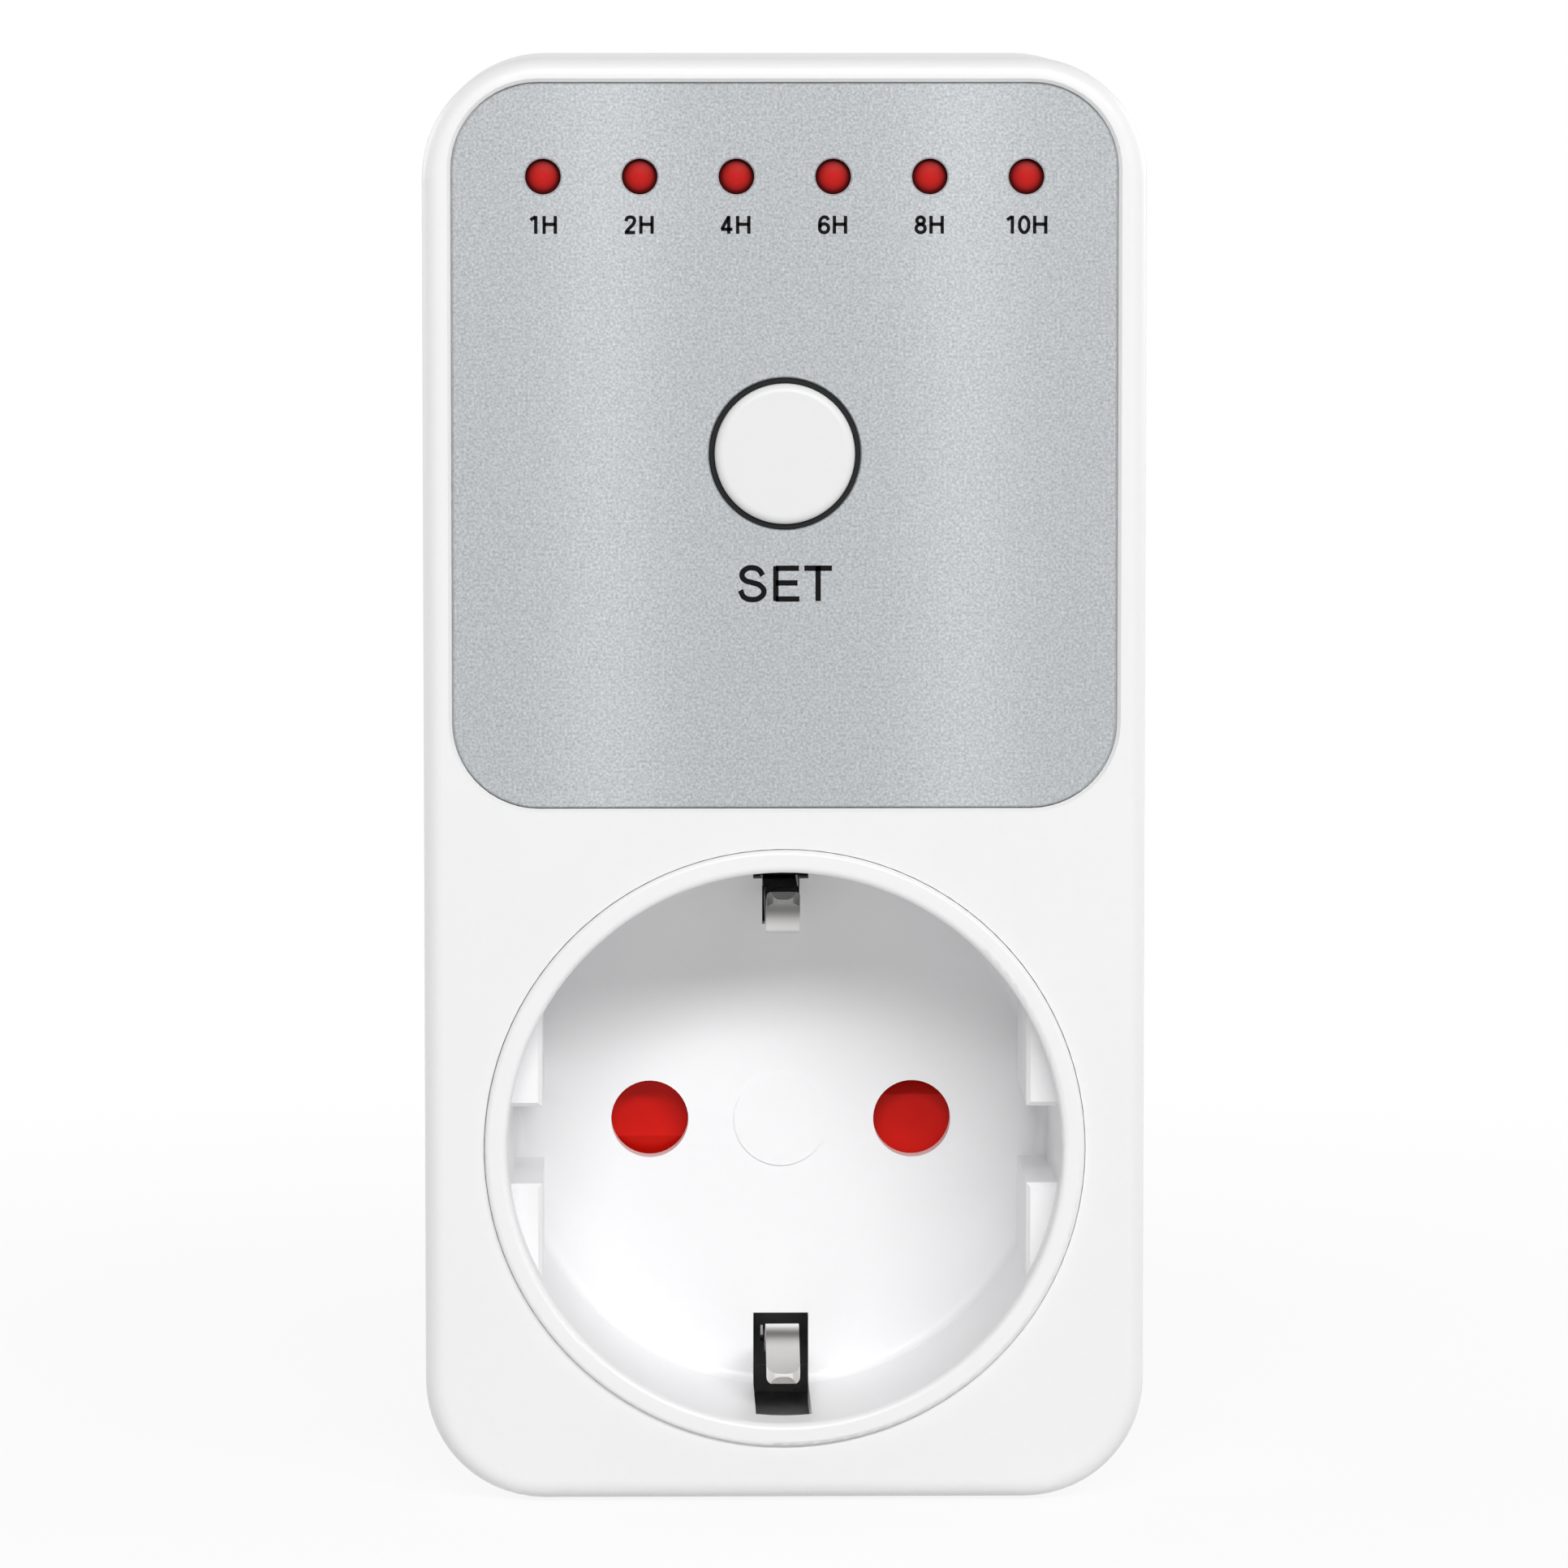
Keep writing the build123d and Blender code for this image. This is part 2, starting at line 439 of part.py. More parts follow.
# ---------------------------------------------------------------- socket
CUP_R, CUP_FLANGE_R, CUP_FLANGE_T, CUP_DRAFT = 21.15, 22.75, 1.4, 0.1
FLOOR_EDGE_R, MOUTH_EDGE_R, RIM_EDGE_R = 0.8, 0.5, 0.35
RIB_X, RIB_GROOVE, RIB_START_Y, RIB_EDGE = 17.15, 5.5, RIM_Y + 2.5, 0.3
PIN_HOLE_R, BOSS_R, BOSS_H = 2.8, 3.4, 0.12
TOP_SLOT_W, BOTTOM_SLOT_W, SLOT_Z, SLOT_STEP_Z = 2.7, 4.0, 14.2, 17.5    # the top slot widens at the step
SLOT_END_Y, SLOT_POCKET_Y, SLOT_PAST = -45.0, -49.7, 1.0    # through the wall, then blind
POST_R, PIVOT_R, POST_HOLE_END = 2.2, 2.0, 0.6
# earth strips: straight up to the carrier, then a narrow tongue that bows in and out again
STRIP_START_Y, STRIP_BEND_Y, STRIP_BEND_R = -3.5, -36.5, 2.5
BOW_Y, BOW_Z, LEAD_IN_Y, LEAD_IN_Z = -42.0, 14.3, -47.5, 17.3
TONGUE_Y, TONGUE_TIP_Y, TONGUE_W, TONGUE_CORNER = PLATE_BACK_Y + FIT, -47.6, 2.4, 0.96
LINK_Y, LINK_TAB_Y = -22.0, -26.0
STRIP_GAP = 0.2                     # round a strip where it passes through a plate
# shutter and its spring
SHUTTER_GAP, SHUTTER_BORE_R, SHUTTER_HUB_R = 0.15, 2.1, 3.4
WING_R, WING_HALF, WING_T = 13.2, 24.0, 2.05
WING_Y, HUB_BACK_Y = FLOOR_BACK_Y + SHUTTER_GAP, SHUTTER_BACK_Y - SHUTTER_GAP
RAMP_FOOT_Z, RAMP_TOP_Z, RAMP_H = -1.5, -5.2, 1.6
SPRING_R, SPRING_WIRE_R, SPRING_TURNS, SPRING_PITCH, SPRING_LEG = 3.85, 0.18, 2.25, 0.5, 4.0
SPRING_Y = WING_Y + WING_T + 0.3
# contact carrier, and the contacts' leaves from their free end past the neck to the root
CARRIER_R, CHAMBER_W, CHAMBER_H, CHAMBER_WALL = 19.0, 10.6, 11.6, 1.0
TAB_NOTCH_W, TAB_NOTCH_Y = 3.4, -23.0
LEAF_X, NECK_X, ROOT_X = 3.3, 2.4, 2.8
LEAF_Y, NECK_Y, BRIDGE_Y = -28.0, -24.5, -19.8
LEAF_T, LEAF_H, BRIDGE_W, BRIDGE_L, TAB_W, TAB_H = 0.6, 7.8, 6.2, 2.7, 2.6, 5.4


def socket_cup():
    """Recess of the socket: rim, flange, side ribs, pin holes, earth slots and posts behind."""
    floor_r, mouth_r = SOCKET_R - CUP_DRAFT, SOCKET_R + CUP_DRAFT
    flange_back_y = INNER_FRONT_Y + CUP_FLANGE_T
    cup = turned([(0, FLOOR_Y), (floor_r, FLOOR_Y), (mouth_r, RIM_Y), (RIM_R, RIM_Y),
                  (RIM_R, INNER_FRONT_Y), (CUP_FLANGE_R, INNER_FRONT_Y), (CUP_FLANGE_R, flange_back_y),
                  (CUP_R, flange_back_y), (CUP_R, FLOOR_BACK_Y), (0, FLOOR_BACK_Y)])
    cup = round_rim(cup, floor_r, FLOOR_Y, FLOOR_EDGE_R)
    cup = round_rim(cup, mouth_r, RIM_Y, MOUTH_EDGE_R)
    cup = round_rim(cup, RIM_R, RIM_Y, RIM_EDGE_R)
    cup += side_ribs()
    cup += rod(BOSS_R, FLOOR_Y, FLOOR_Y - BOSS_H)
    for side in (-1, 1):
        cup -= rod(PIN_HOLE_R, FLOOR_BACK_Y, FLOOR_Y, (side * PIN_X, 0))
    for side, width in ((-1, BOTTOM_SLOT_W), (1, TOP_SLOT_W)):
        cup -= earth_slot(side, width, SLOT_Z, CUP_R, FLOOR_BACK_Y, SLOT_END_Y)
        cup -= earth_slot(side, width, SLOT_Z, SOCKET_R, SLOT_END_Y, SLOT_POCKET_Y)
    cup -= earth_slot(1, BOTTOM_SLOT_W, SLOT_STEP_Z, CUP_R, FLOOR_BACK_Y, FLOOR_Y)
    for at in SCREW_POSTS + CLAMP_POSTS:
        cup += rod(POST_R, FLOOR_BACK_Y - SEAT, SHUTTER_BACK_Y, at)
    for at in SCREW_POSTS:
        cup -= rod(CARRIER_SCREW_R, SHUTTER_BACK_Y, FLOOR_BACK_Y - POST_HOLE_END, at)
    return cup + rod(PIVOT_R, FLOOR_BACK_Y - SEAT, SHUTTER_BACK_Y - 2 * FIT)


def side_ribs():
    """Ribs at the sides of the recess that fit the flats and keys of a plug, a pair on each side."""
    sides = Circle(SOCKET_R + SEAT) - Rectangle(2 * RIB_X, 2 * CUP_R)
    ribs = slab(sides - Rectangle(2 * CUP_R, RIB_GROOVE), FLOOR_Y + SEAT, RIB_START_Y)
    return chamfer(edges_at(ribs, RIB_START_Y), RIB_EDGE)


def earth_slot(side, width, inner_z, radius, start, end):
    """Slot for an earth strip at the top or the bottom, from a height to just past a radius."""
    outer_z = radius + SLOT_PAST
    return block(width, outer_z - inner_z, start, end, (0, side * (inner_z + outer_z) / 2))


def wing():
    """One shutter wing, over the pin hole at -X, with the ramp that a plug pin pushes on."""
    reach = 2 * WING_R
    rise = reach * tan(radians(WING_HALF))
    sector = make_face(Polyline((0, 0), (-reach, rise), (-reach, -rise), close=True)) & Circle(WING_R)
    plate = slab(sector, WING_Y + WING_T, WING_Y)
    outside_z, outside_y = RAMP_TOP_Z - WING_R, WING_Y - WING_T
    ramp = make_face(Polyline((outside_y, RAMP_FOOT_Z), (WING_Y, RAMP_FOOT_Z), (WING_Y + RAMP_H, RAMP_TOP_Z),
                              (WING_Y + RAMP_H, outside_z), (outside_y, outside_z), close=True))
    return plate - extrude(Plane.YZ * ramp, amount=-reach)


def shutter():
    """Red shutter: a hub on the pivot and two wings that cover the pin holes."""
    turning = rod(SHUTTER_HUB_R, HUB_BACK_Y, WING_Y)
    turning += wing()
    turning += Rot(0, 180, 0) * wing()
    return turning - rod(SHUTTER_BORE_R, HUB_BACK_Y, WING_Y)


def shutter_spring():
    """Torsion spring round the hub, with a straight leg at each end."""
    coil = Helix(SPRING_PITCH, SPRING_TURNS * SPRING_PITCH, SPRING_R)
    start_leg = Line(coil @ 0 - (coil % 0) * SPRING_LEG, coil @ 0)
    end_leg = Line(coil @ 1, coil @ 1 + (coil % 1) * SPRING_LEG)
    path = Wire([start_leg, coil, end_leg])
    spring = sweep(Plane(path @ 0, z_dir=path % 0) * RegularPolygon(SPRING_WIRE_R, 6), path)
    return Pos(0, SPRING_Y, 0) * Rot(-90, 0, 0) * spring


def contact_carrier():
    """Insulating plate behind the shutter, with a walled chamber for each contact."""
    room_w, room_h = CHAMBER_W - 2 * CHAMBER_WALL, CHAMBER_H - 2 * CHAMBER_WALL
    strip_hole = (TONGUE_W + 2 * STRIP_GAP, STRIP_T + 2 * STRIP_GAP)
    plate = rod(CARRIER_R, PLATE_BACK_Y, SHUTTER_BACK_Y)
    for side in (-1, 1):
        plate += block(CHAMBER_W, CHAMBER_H, PLATE_BACK_Y - SEAT, CHAMBER_END_Y, (side * PIN_X, 0))
    for side in (-1, 1):
        plate -= block(room_w, room_h, PLATE_BACK_Y, CHAMBER_END_Y, (side * PIN_X, 0))
        plate -= block(TAB_NOTCH_W, CHAMBER_H / 2, TAB_NOTCH_Y, CHAMBER_END_Y, (side * PIN_X, CHAMBER_H / 2))
        plate -= rod(PIN_HOLE_R, SHUTTER_BACK_Y, PLATE_BACK_Y, (side * PIN_X, 0))
        plate -= block(*strip_hole, SHUTTER_BACK_Y, PLATE_BACK_Y, (0, side * STRIP_Z))
    for at in SCREW_POSTS:
        plate -= rod(CARRIER_SCREW_R + CLEAR_HOLE, SHUTTER_BACK_Y, PLATE_BACK_Y, at)
    return plate


def pin_contact(side):
    """Sprung contact for one pin: two bowed leaves on a bridge, with a solder tab above."""
    leaf_path = Polyline((LEAF_X, LEAF_Y), (NECK_X, NECK_Y), (ROOT_X, BRIDGE_Y))
    leaf = extrude(trace(leaf_path, LEAF_T), amount=LEAF_H)
    top_z = LEAF_H / 2
    contact = Pos(0, 0, -top_z) * leaf
    contact += mirror(contact, Plane.YZ)
    contact += Pos(0, BRIDGE_Y - BRIDGE_L / 2, top_z) * Box(BRIDGE_W, BRIDGE_L, LEAF_T)
    contact += Pos(0, BRIDGE_Y - LEAF_T / 2, top_z + TAB_H / 2 - LEAF_T / 2) * Box(TAB_W, LEAF_T, TAB_H)
    return Pos(side * PIN_X, 0, 0) * contact


def earth_strip(side):
    """Earth strip from the plug's channel to the bowed clip in the socket."""
    path = [(STRIP_START_Y, STRIP_Z), (STRIP_BEND_Y, STRIP_Z), (BOW_Y, BOW_Z), (LEAD_IN_Y, LEAD_IN_Z)]
    strip = folded(path, STRIP_T, STRIP_W, STRIP_BEND_R)
    tongue_l = TONGUE_Y - TONGUE_TIP_Y
    outline = Pos(0, TONGUE_Y / 2) * Rectangle(STRIP_W, -TONGUE_Y)
    outline += Pos(0, TONGUE_Y) * RectangleRounded(TONGUE_W, 2 * tongue_l, TONGUE_CORNER)
    strip &= extrude(outline, amount=2 * STRIP_Z)
    return strip if side > 0 else Rot(0, 180, 0) * strip


def earth_link():
    """Strip across the housing that joins the two earth strips."""
    tab_z = STRIP_Z - STRIP_T
    path = [(LINK_TAB_Y, tab_z), (LINK_Y, tab_z), (LINK_Y, -tab_z), (LINK_TAB_Y, -tab_z)]
    return folded(path, STRIP_T, STRIP_W)


# ---------------------------------------------------------------- plug
PIN_COLLAR_R, PIN_FLANGE_R, PIN_TAIL_R, PIN_TIP_R = 2.8, 3.4, 1.5, 1.6
PIN_FLANGE_Y, PIN_TAIL_Y = PLUG_WALL_Y - 1.4, -10.0
PLUG_EDGE, PLUG_FLANGE_R, CLAMP_POST_R = 0.6, 20.6, 2.0
PLATE_BOSS_R, PLATE_BOSS_HOLE = 3.0, 3.0
PLATE_H, PLATE_Y, PLATE_GAP = 14.0, PIN_FLANGE_Y - 2.0, 0.2


def plug_body():
    """Body of the plug: end wall with the pins' seats, a channel for each earth strip, and a flange
    inside the rear shell with two posts that press the contact carrier to the socket."""
    body = slab(plug_outline(), PLUG_FLANGE_Y, 0.0)
    for side in (-1, 1):
        channel_at = (0, side * (CHANNEL_Z + PLUG_R) / 2)
        body -= block(CHANNEL_W, PLUG_R - CHANNEL_Z, INNER_REAR_Y, 0.0, channel_at)
    body = chamfer(edges_at(body, 0.0), PLUG_EDGE)
    body += rod(PLUG_FLANGE_R, PLUG_FLANGE_Y, INNER_REAR_Y)
    body -= rod(PLUG_HOLLOW_R, PLUG_FLANGE_Y, PLUG_WALL_Y)
    for at in CLAMP_POSTS:
        body += rod(CLAMP_POST_R, INNER_REAR_Y, PLATE_BACK_Y, at)
    for side in (-1, 1):
        body -= rod(PIN_COLLAR_R, PLUG_WALL_Y, 0.0, (side * PIN_X, 0))
        strip_at = (0, side * STRIP_Z)
        body -= block(STRIP_W + STRIP_GAP, STRIP_T, PLUG_FLANGE_Y, INNER_REAR_Y, strip_at)
    body += rod(PLATE_BOSS_R, PLUG_WALL_Y + SEAT, PIN_FLANGE_Y)
    return body - rod(CARRIER_SCREW_R, PIN_FLANGE_Y, PIN_FLANGE_Y + PLATE_BOSS_HOLE)


def plug_pin(side):
    """Plug pin with a rounded tip, a collar in the plug's wall, a flange and a solder tail."""
    pin = fillet(edges_at(rod(PIN_R, 0.0, PIN_LENGTH), PIN_LENGTH), PIN_TIP_R)
    pin += rod(PIN_COLLAR_R, PLUG_WALL_Y, 0.0)
    pin += rod(PIN_FLANGE_R, PIN_FLANGE_Y, PLUG_WALL_Y)
    pin += rod(PIN_TAIL_R, PIN_TAIL_Y, PIN_FLANGE_Y)
    return Pos(side * PIN_X, 0, 0) * pin


def pin_plate():
    """Plate that clamps both pins into the plug's end wall."""
    outline = Circle(PLUG_HOLLOW_R - PLATE_GAP) & Rectangle(2 * PLUG_HOLLOW_R, PLATE_H)
    for side in (-1, 1):
        outline -= Pos(side * PIN_X, 0) * Circle(PIN_TAIL_R + 2 * FIT)
    outline -= Circle(CARRIER_SCREW_R + CLEAR_HOLE)
    return slab(outline, PIN_FLANGE_Y, PLATE_Y)


# ---------------------------------------------------------------- screws
HOUSING_SCREW = (HEAD_SEAT_Y, 14.0, HOUSING_SCREW_R, 2.5, 1.8)        # seat, length, radius, head
CARRIER_SCREW = (PLATE_BACK_Y, 6.0, CARRIER_SCREW_R, 1.9, 1.2)
BOARD_SCREW = (BOARD_BACK_Y, 5.6, BOARD_SCREW_R, 1.7, 1.1)
PLATE_SCREW = (PLATE_Y, -4.8, CARRIER_SCREW_R, 2.2, 1.2)


def screw(seat, length, radius, head_r, head_h, at=(0.0, 0.0)):
    """Screw along Y whose head is on the +Y side of its seat when length is positive."""
    head = rod(head_r, seat, seat + copysign(head_h, length), at)
    return head + rod(radius, seat, seat - length, at)


def screws(places, sizes):
    return Part() + [screw(*sizes, at) for at in places]


# ---------------------------------------------------------------- leads
# Each route is a list of points that the lead passes, from one solder joint to the other.
LEAD_TAB_Z = 8.2
LINE_IN = [(-9.5, PIN_TAIL_Y, 0), (-9.5, -14.0, 0), (-5.4, -15.5, 9.0), (-5.4, -24.0, 11.0),
           (-7.0, -25.0, 31.0), (-7.0, BOARD_BACK_Y, 31.0)]
LINE_OUT = [(-9.5, -20.4, LEAD_TAB_Z), (-9.5, -24.4, LEAD_TAB_Z), (-11.5, -24.6, 31.0),
            (-11.5, BOARD_BACK_Y, 31.0)]
NEUTRAL = [(9.5, PIN_TAIL_Y, 0), (9.5, -13.0, 0), (9.5, -16.0, LEAD_TAB_Z), (9.5, -19.8, LEAD_TAB_Z)]
NEUTRAL_BOARD = [(9.5, -20.4, LEAD_TAB_Z), (9.5, -24.4, LEAD_TAB_Z), (11.5, -24.6, 31.0),
                 (11.5, BOARD_BACK_Y, 31.0)]

# ---------------------------------------------------------------- every piece
save("front_housing", front_housing())
save("rear_housing", rear_housing())
save("face_panel", face_panel())
save("button_ring", button_ring())
save("set_button", set_button())
for name, x in zip(LAMP_NAMES, LAMP_X):
    save(f"led_{name}", lamp(x))
save("led_legs", legs(LAMP_LEGS, LAMP_BACK_Y, BOARD_BACK_Y + LEG_PAST))
save("led_holder", led_holder())
save("control_board", control_board())
save("switch_body", switch_body())
save("switch_plunger", switch_plunger())
save("relay", relay())
save("film_capacitor", film_capacitor())
save("electrolytic_capacitor", electrolytic_capacitor())
save("varistor", varistor())
save("fuse", fuse())
save("rectifier_diodes", rectifier_diodes())
save("resistors", resistors())
save("timer_chip", timer_chip())
save("driver_transistor", driver_transistor())
save("socket_cup", socket_cup())
save("shutter", shutter())
save("shutter_spring", shutter_spring())
save("contact_carrier", contact_carrier())
save("contact_line", pin_contact(-1))
save("contact_neutral", pin_contact(1))
save("earth_strip_top", earth_strip(1))
save("earth_strip_bottom", earth_strip(-1))
save("earth_link", earth_link())
save("plug_body", plug_body())
save("plug_pin_line", plug_pin(-1))
save("plug_pin_neutral", plug_pin(1))
save("pin_plate", pin_plate())
save("pin_plate_screw", screw(*PLATE_SCREW))
save("line_in_lead", lead(LINE_IN))
save("line_out_lead", lead(LINE_OUT))
save("neutral_lead", lead(NEUTRAL))
save("neutral_board_lead", lead(NEUTRAL_BOARD))
save("housing_screws", screws(TOP_BOSSES + BOTTOM_BOSSES, HOUSING_SCREW))
save("carrier_screws", screws(SCREW_POSTS, CARRIER_SCREW))
save("board_screws", screws(BOARD_POSTS, BOARD_SCREW))
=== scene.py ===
# %% [markdown]
# # A plug-in countdown timer
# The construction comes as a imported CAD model: every shell, every contact and every set of screws
# is a node in it, at its real size. This file gives those nodes their finishes, adds the pieces
# that are easier to make in Blender than in CAD, and sets up light and camera. Nothing from the CAD
# model is moved.

# %% Load the frame
import json
from math import cos, pi, radians, sin

import bpy
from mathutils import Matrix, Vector


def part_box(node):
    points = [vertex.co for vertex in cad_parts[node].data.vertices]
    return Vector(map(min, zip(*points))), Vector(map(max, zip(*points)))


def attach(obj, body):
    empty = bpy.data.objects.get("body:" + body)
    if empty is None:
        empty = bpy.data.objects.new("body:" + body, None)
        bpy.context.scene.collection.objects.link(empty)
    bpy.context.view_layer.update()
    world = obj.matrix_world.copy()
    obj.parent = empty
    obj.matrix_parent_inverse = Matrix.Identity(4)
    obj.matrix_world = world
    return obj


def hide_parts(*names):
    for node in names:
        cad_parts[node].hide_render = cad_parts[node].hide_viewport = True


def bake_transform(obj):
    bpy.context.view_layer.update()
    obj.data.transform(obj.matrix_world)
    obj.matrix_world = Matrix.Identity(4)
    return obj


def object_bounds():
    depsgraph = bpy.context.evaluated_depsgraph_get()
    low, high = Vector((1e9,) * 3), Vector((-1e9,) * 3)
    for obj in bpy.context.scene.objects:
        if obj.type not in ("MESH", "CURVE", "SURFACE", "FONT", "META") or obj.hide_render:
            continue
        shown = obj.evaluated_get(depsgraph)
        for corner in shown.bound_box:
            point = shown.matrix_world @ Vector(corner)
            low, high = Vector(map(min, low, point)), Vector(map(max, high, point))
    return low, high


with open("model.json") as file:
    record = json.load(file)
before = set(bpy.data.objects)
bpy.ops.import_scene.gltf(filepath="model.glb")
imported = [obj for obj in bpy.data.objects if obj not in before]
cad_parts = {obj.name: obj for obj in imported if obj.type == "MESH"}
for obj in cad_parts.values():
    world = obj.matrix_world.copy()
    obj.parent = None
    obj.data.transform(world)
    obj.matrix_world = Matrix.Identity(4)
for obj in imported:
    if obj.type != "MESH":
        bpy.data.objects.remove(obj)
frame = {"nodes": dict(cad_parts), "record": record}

MM = 0.001
cad_low, cad_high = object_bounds()
nodes = frame["nodes"]
print("CAD nodes:", len(nodes), "size in mm:", [round(v / MM, 1) for v in cad_high - cad_low])

# %% [markdown]
# ## Places
# The frame says where each node is, so the places of pieces are read from it. The front of the
# housing faces -Y, +Z is up, and the origin lies between the plug's pins. The socket's axis is the
# Y axis.

# %% Places read from the frame
def middle(node):
    """The middle of a node's box."""
    low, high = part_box(node)
    return (low + high) / 2


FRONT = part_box("front_housing")[0].y
PANEL_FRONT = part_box("face_panel")[0].y
MIDDLE_Z, BUTTON_Z = middle("front_housing").z, middle("set_button").z
LAMPS = ["led_1h", "led_2h", "led_4h", "led_6h", "led_8h", "led_10h"]
lamp_centre = {name: middle(name) for name in LAMPS}
print("front at", round(FRONT / MM, 2), "mm, middle at", round(MIDDLE_Z / MM, 2), "mm")

# %% [markdown]
# ## Node graphs as Python
# Both materials and Geometry Nodes are graphs of nodes. Adding each node by hand takes many lines,
# so one small class wraps an output socket and lets plain arithmetic add the Math nodes, and one
# method adds any other node: its settings first, then the values or links of its sockets. A Mix
# node has several sockets with the same name, so its colour sockets are picked by number.

# %% A socket that does arithmetic, and a graph that adds nodes
MIX_FACTOR, MIX_FIRST, MIX_SECOND, MIX_RESULT = 0, 6, 7, 2


class Value:
    """An output socket that takes part in arithmetic."""

    def __init__(self, graph, socket):
        self.graph, self.socket = graph, socket

    def math(self, operation, *others):
        return self.graph.maths(operation, self, *others)

    def __add__(self, other):
        return self.math("ADD", other)

    def __sub__(self, other):
        return self.math("SUBTRACT", other)

    def __rsub__(self, other):
        return self.graph.maths("SUBTRACT", other, self)

    def __mul__(self, other):
        return self.math("MULTIPLY", other)

    def __truediv__(self, other):
        return self.math("DIVIDE", other)

    def __rtruediv__(self, other):
        return self.graph.maths("DIVIDE", other, self)

    __radd__ = __add__
    __rmul__ = __mul__


class Graph:
    """A node tree with one method for adding a node."""

    def __init__(self, tree):
        self.tree = tree

    def node(self, kind, values=None, **settings):
        """Add a node with its settings, then fill its sockets, which go by name or by number."""
        made = self.tree.nodes.new(kind)
        for key, value in settings.items():
            if key == "stops":
                self.set_stops(made.color_ramp, value)
            else:
                setattr(made, key, value)
        for key, value in (values or {}).items():
            self.put(value, made.inputs[key])
        return made

    def put(self, value, socket):
        """Fill a socket with a link, with a list of links or with a plain value."""
        if isinstance(value, list):
            for one in value:
                self.put(one, socket)
        elif isinstance(value, Value):
            self.tree.links.new(value.socket, socket)
        else:
            socket.default_value = value

    def set_stops(self, ramp, stops):
        """Give a colour ramp its places and colours."""
        while len(ramp.elements) < len(stops):
            ramp.elements.new(1.0)
        for element, (place, colour) in zip(ramp.elements, stops):
            element.position, element.color = place, (*colour, 1.0)

    def out(self, made, output=0):
        return Value(self, made.outputs[output])

    def maths(self, operation, *values):
        return self.out(self.node("ShaderNodeMath", dict(enumerate(values)), operation=operation))

    def split(self, vector):
        """X, Y and Z of a vector."""
        made = self.node("ShaderNodeSeparateXYZ", {0: vector})
        return [self.out(made, axis) for axis in range(3)]

    def blend(self, factor, first, second):
        """A colour between two colours."""
        made = self.node("ShaderNodeMix", {
            MIX_FACTOR: factor, MIX_FIRST: first, MIX_SECOND: second}, data_type="RGBA")
        return self.out(made, MIX_RESULT)


print("graph helpers ready")

# %% [markdown]
# ## A finish and its pattern space
# Every finish here is procedural. Its patterns read Object coordinates, which are in metres and
# stay with the piece, because every piece's own origin is the model's origin. A noise's scale is
# therefore large: 5000 for blotches of a tenth of a millimetre. It is worked out from their size.

# %% The finish class
def rgb(red, green, blue):
    """A colour of 0 to 255 parts, as written on a screen, in the shader's linear units."""
    def linear(part):
        part /= 255
        return part / 12.92 if part <= 0.04045 else ((part + 0.055) / 1.055) ** 2.4
    return (linear(red), linear(green), linear(blue), 1.0)


class Finish(Graph):
    """A material with one Principled shader."""

    def __init__(self, name):
        self.material = bpy.data.materials.new(name)
        self.material.use_nodes = True
        super().__init__(self.material.node_tree)
        self.tree.nodes.clear()
        self.shader = self.node("ShaderNodeBsdfPrincipled")
        self.node("ShaderNodeOutputMaterial", {0: self.out(self.shader)})
        self.place = self.out(self.node("ShaderNodeTexCoord"), "Object")

    def set(self, **values):
        """Shader inputs by name, with _ for the spaces."""
        for key, value in values.items():
            self.put(value, self.shader.inputs[key.replace("_", " ")])

    def noise(self, size, detail=2.0, place=None):
        """Soft noise from 0 to 1 whose blotches are about size across, in metres."""
        return self.out(self.node("ShaderNodeTexNoise", {
            "Vector": place or self.place, "Scale": 0.5 / size, "Detail": detail}))

    def stretched(self, scale):
        """Object coordinates, stretched along each axis."""
        return self.out(self.node("ShaderNodeMapping", {
            "Vector": self.place, "Scale": scale}, vector_type="TEXTURE"))

    def axes(self):
        """X, Y and Z of the Object coordinates: across, deep and up."""
        return self.split(self.place)

    def gloss(self, roughness, noise, spread=0.12):
        """Roughness that a noise spreads evenly about its middle value."""
        self.set(Roughness=noise * spread + (roughness - spread / 2))

    def bump(self, height, depth):
        """Relief whose height runs from 0 to depth, in metres."""
        self.set(Normal=self.out(self.node("ShaderNodeBump", {
            "Height": height, "Distance": depth, "Strength": 1.0})))


print("finish class ready")

# %% [markdown]
# ## Moulded plastics
# A moulded part is never one flat colour. The steel mould is spark-eroded, which leaves a grain of
# a few microns, and the plastic's flow leaves the gloss and the tone slightly uneven. So one
# function makes every moulding from a colour, a gloss and a grain, and the pieces differ in those
# values. The grain is relief, so it is a Bump node, and its height is given in metres.

# %% Finishes of the mouldings
FLOW_SIZE = 7.0 * MM


def tinted(colour, share):
    """A colour of 0 to 255 parts at a share of its brightness."""
    return rgb(*[part * share for part in colour])


def moulded(name, colour, roughness, grain, depth, tint=0.985, shine=0.5):
    """Moulded plastic: spark-eroded grain, uneven gloss, and faint clouds of the tinted colour."""
    finish = Finish(name)
    flow, grains = finish.noise(FLOW_SIZE, 3.0), finish.noise(grain, 3.0)
    clouds = (flow + grains) * 0.5
    finish.set(Base_Color=finish.blend(clouds, tinted(colour, tint), rgb(*colour)))
    finish.set(Specular_IOR_Level=shine)
    finish.gloss(roughness, flow)
    finish.bump(grains, depth)
    return finish.material


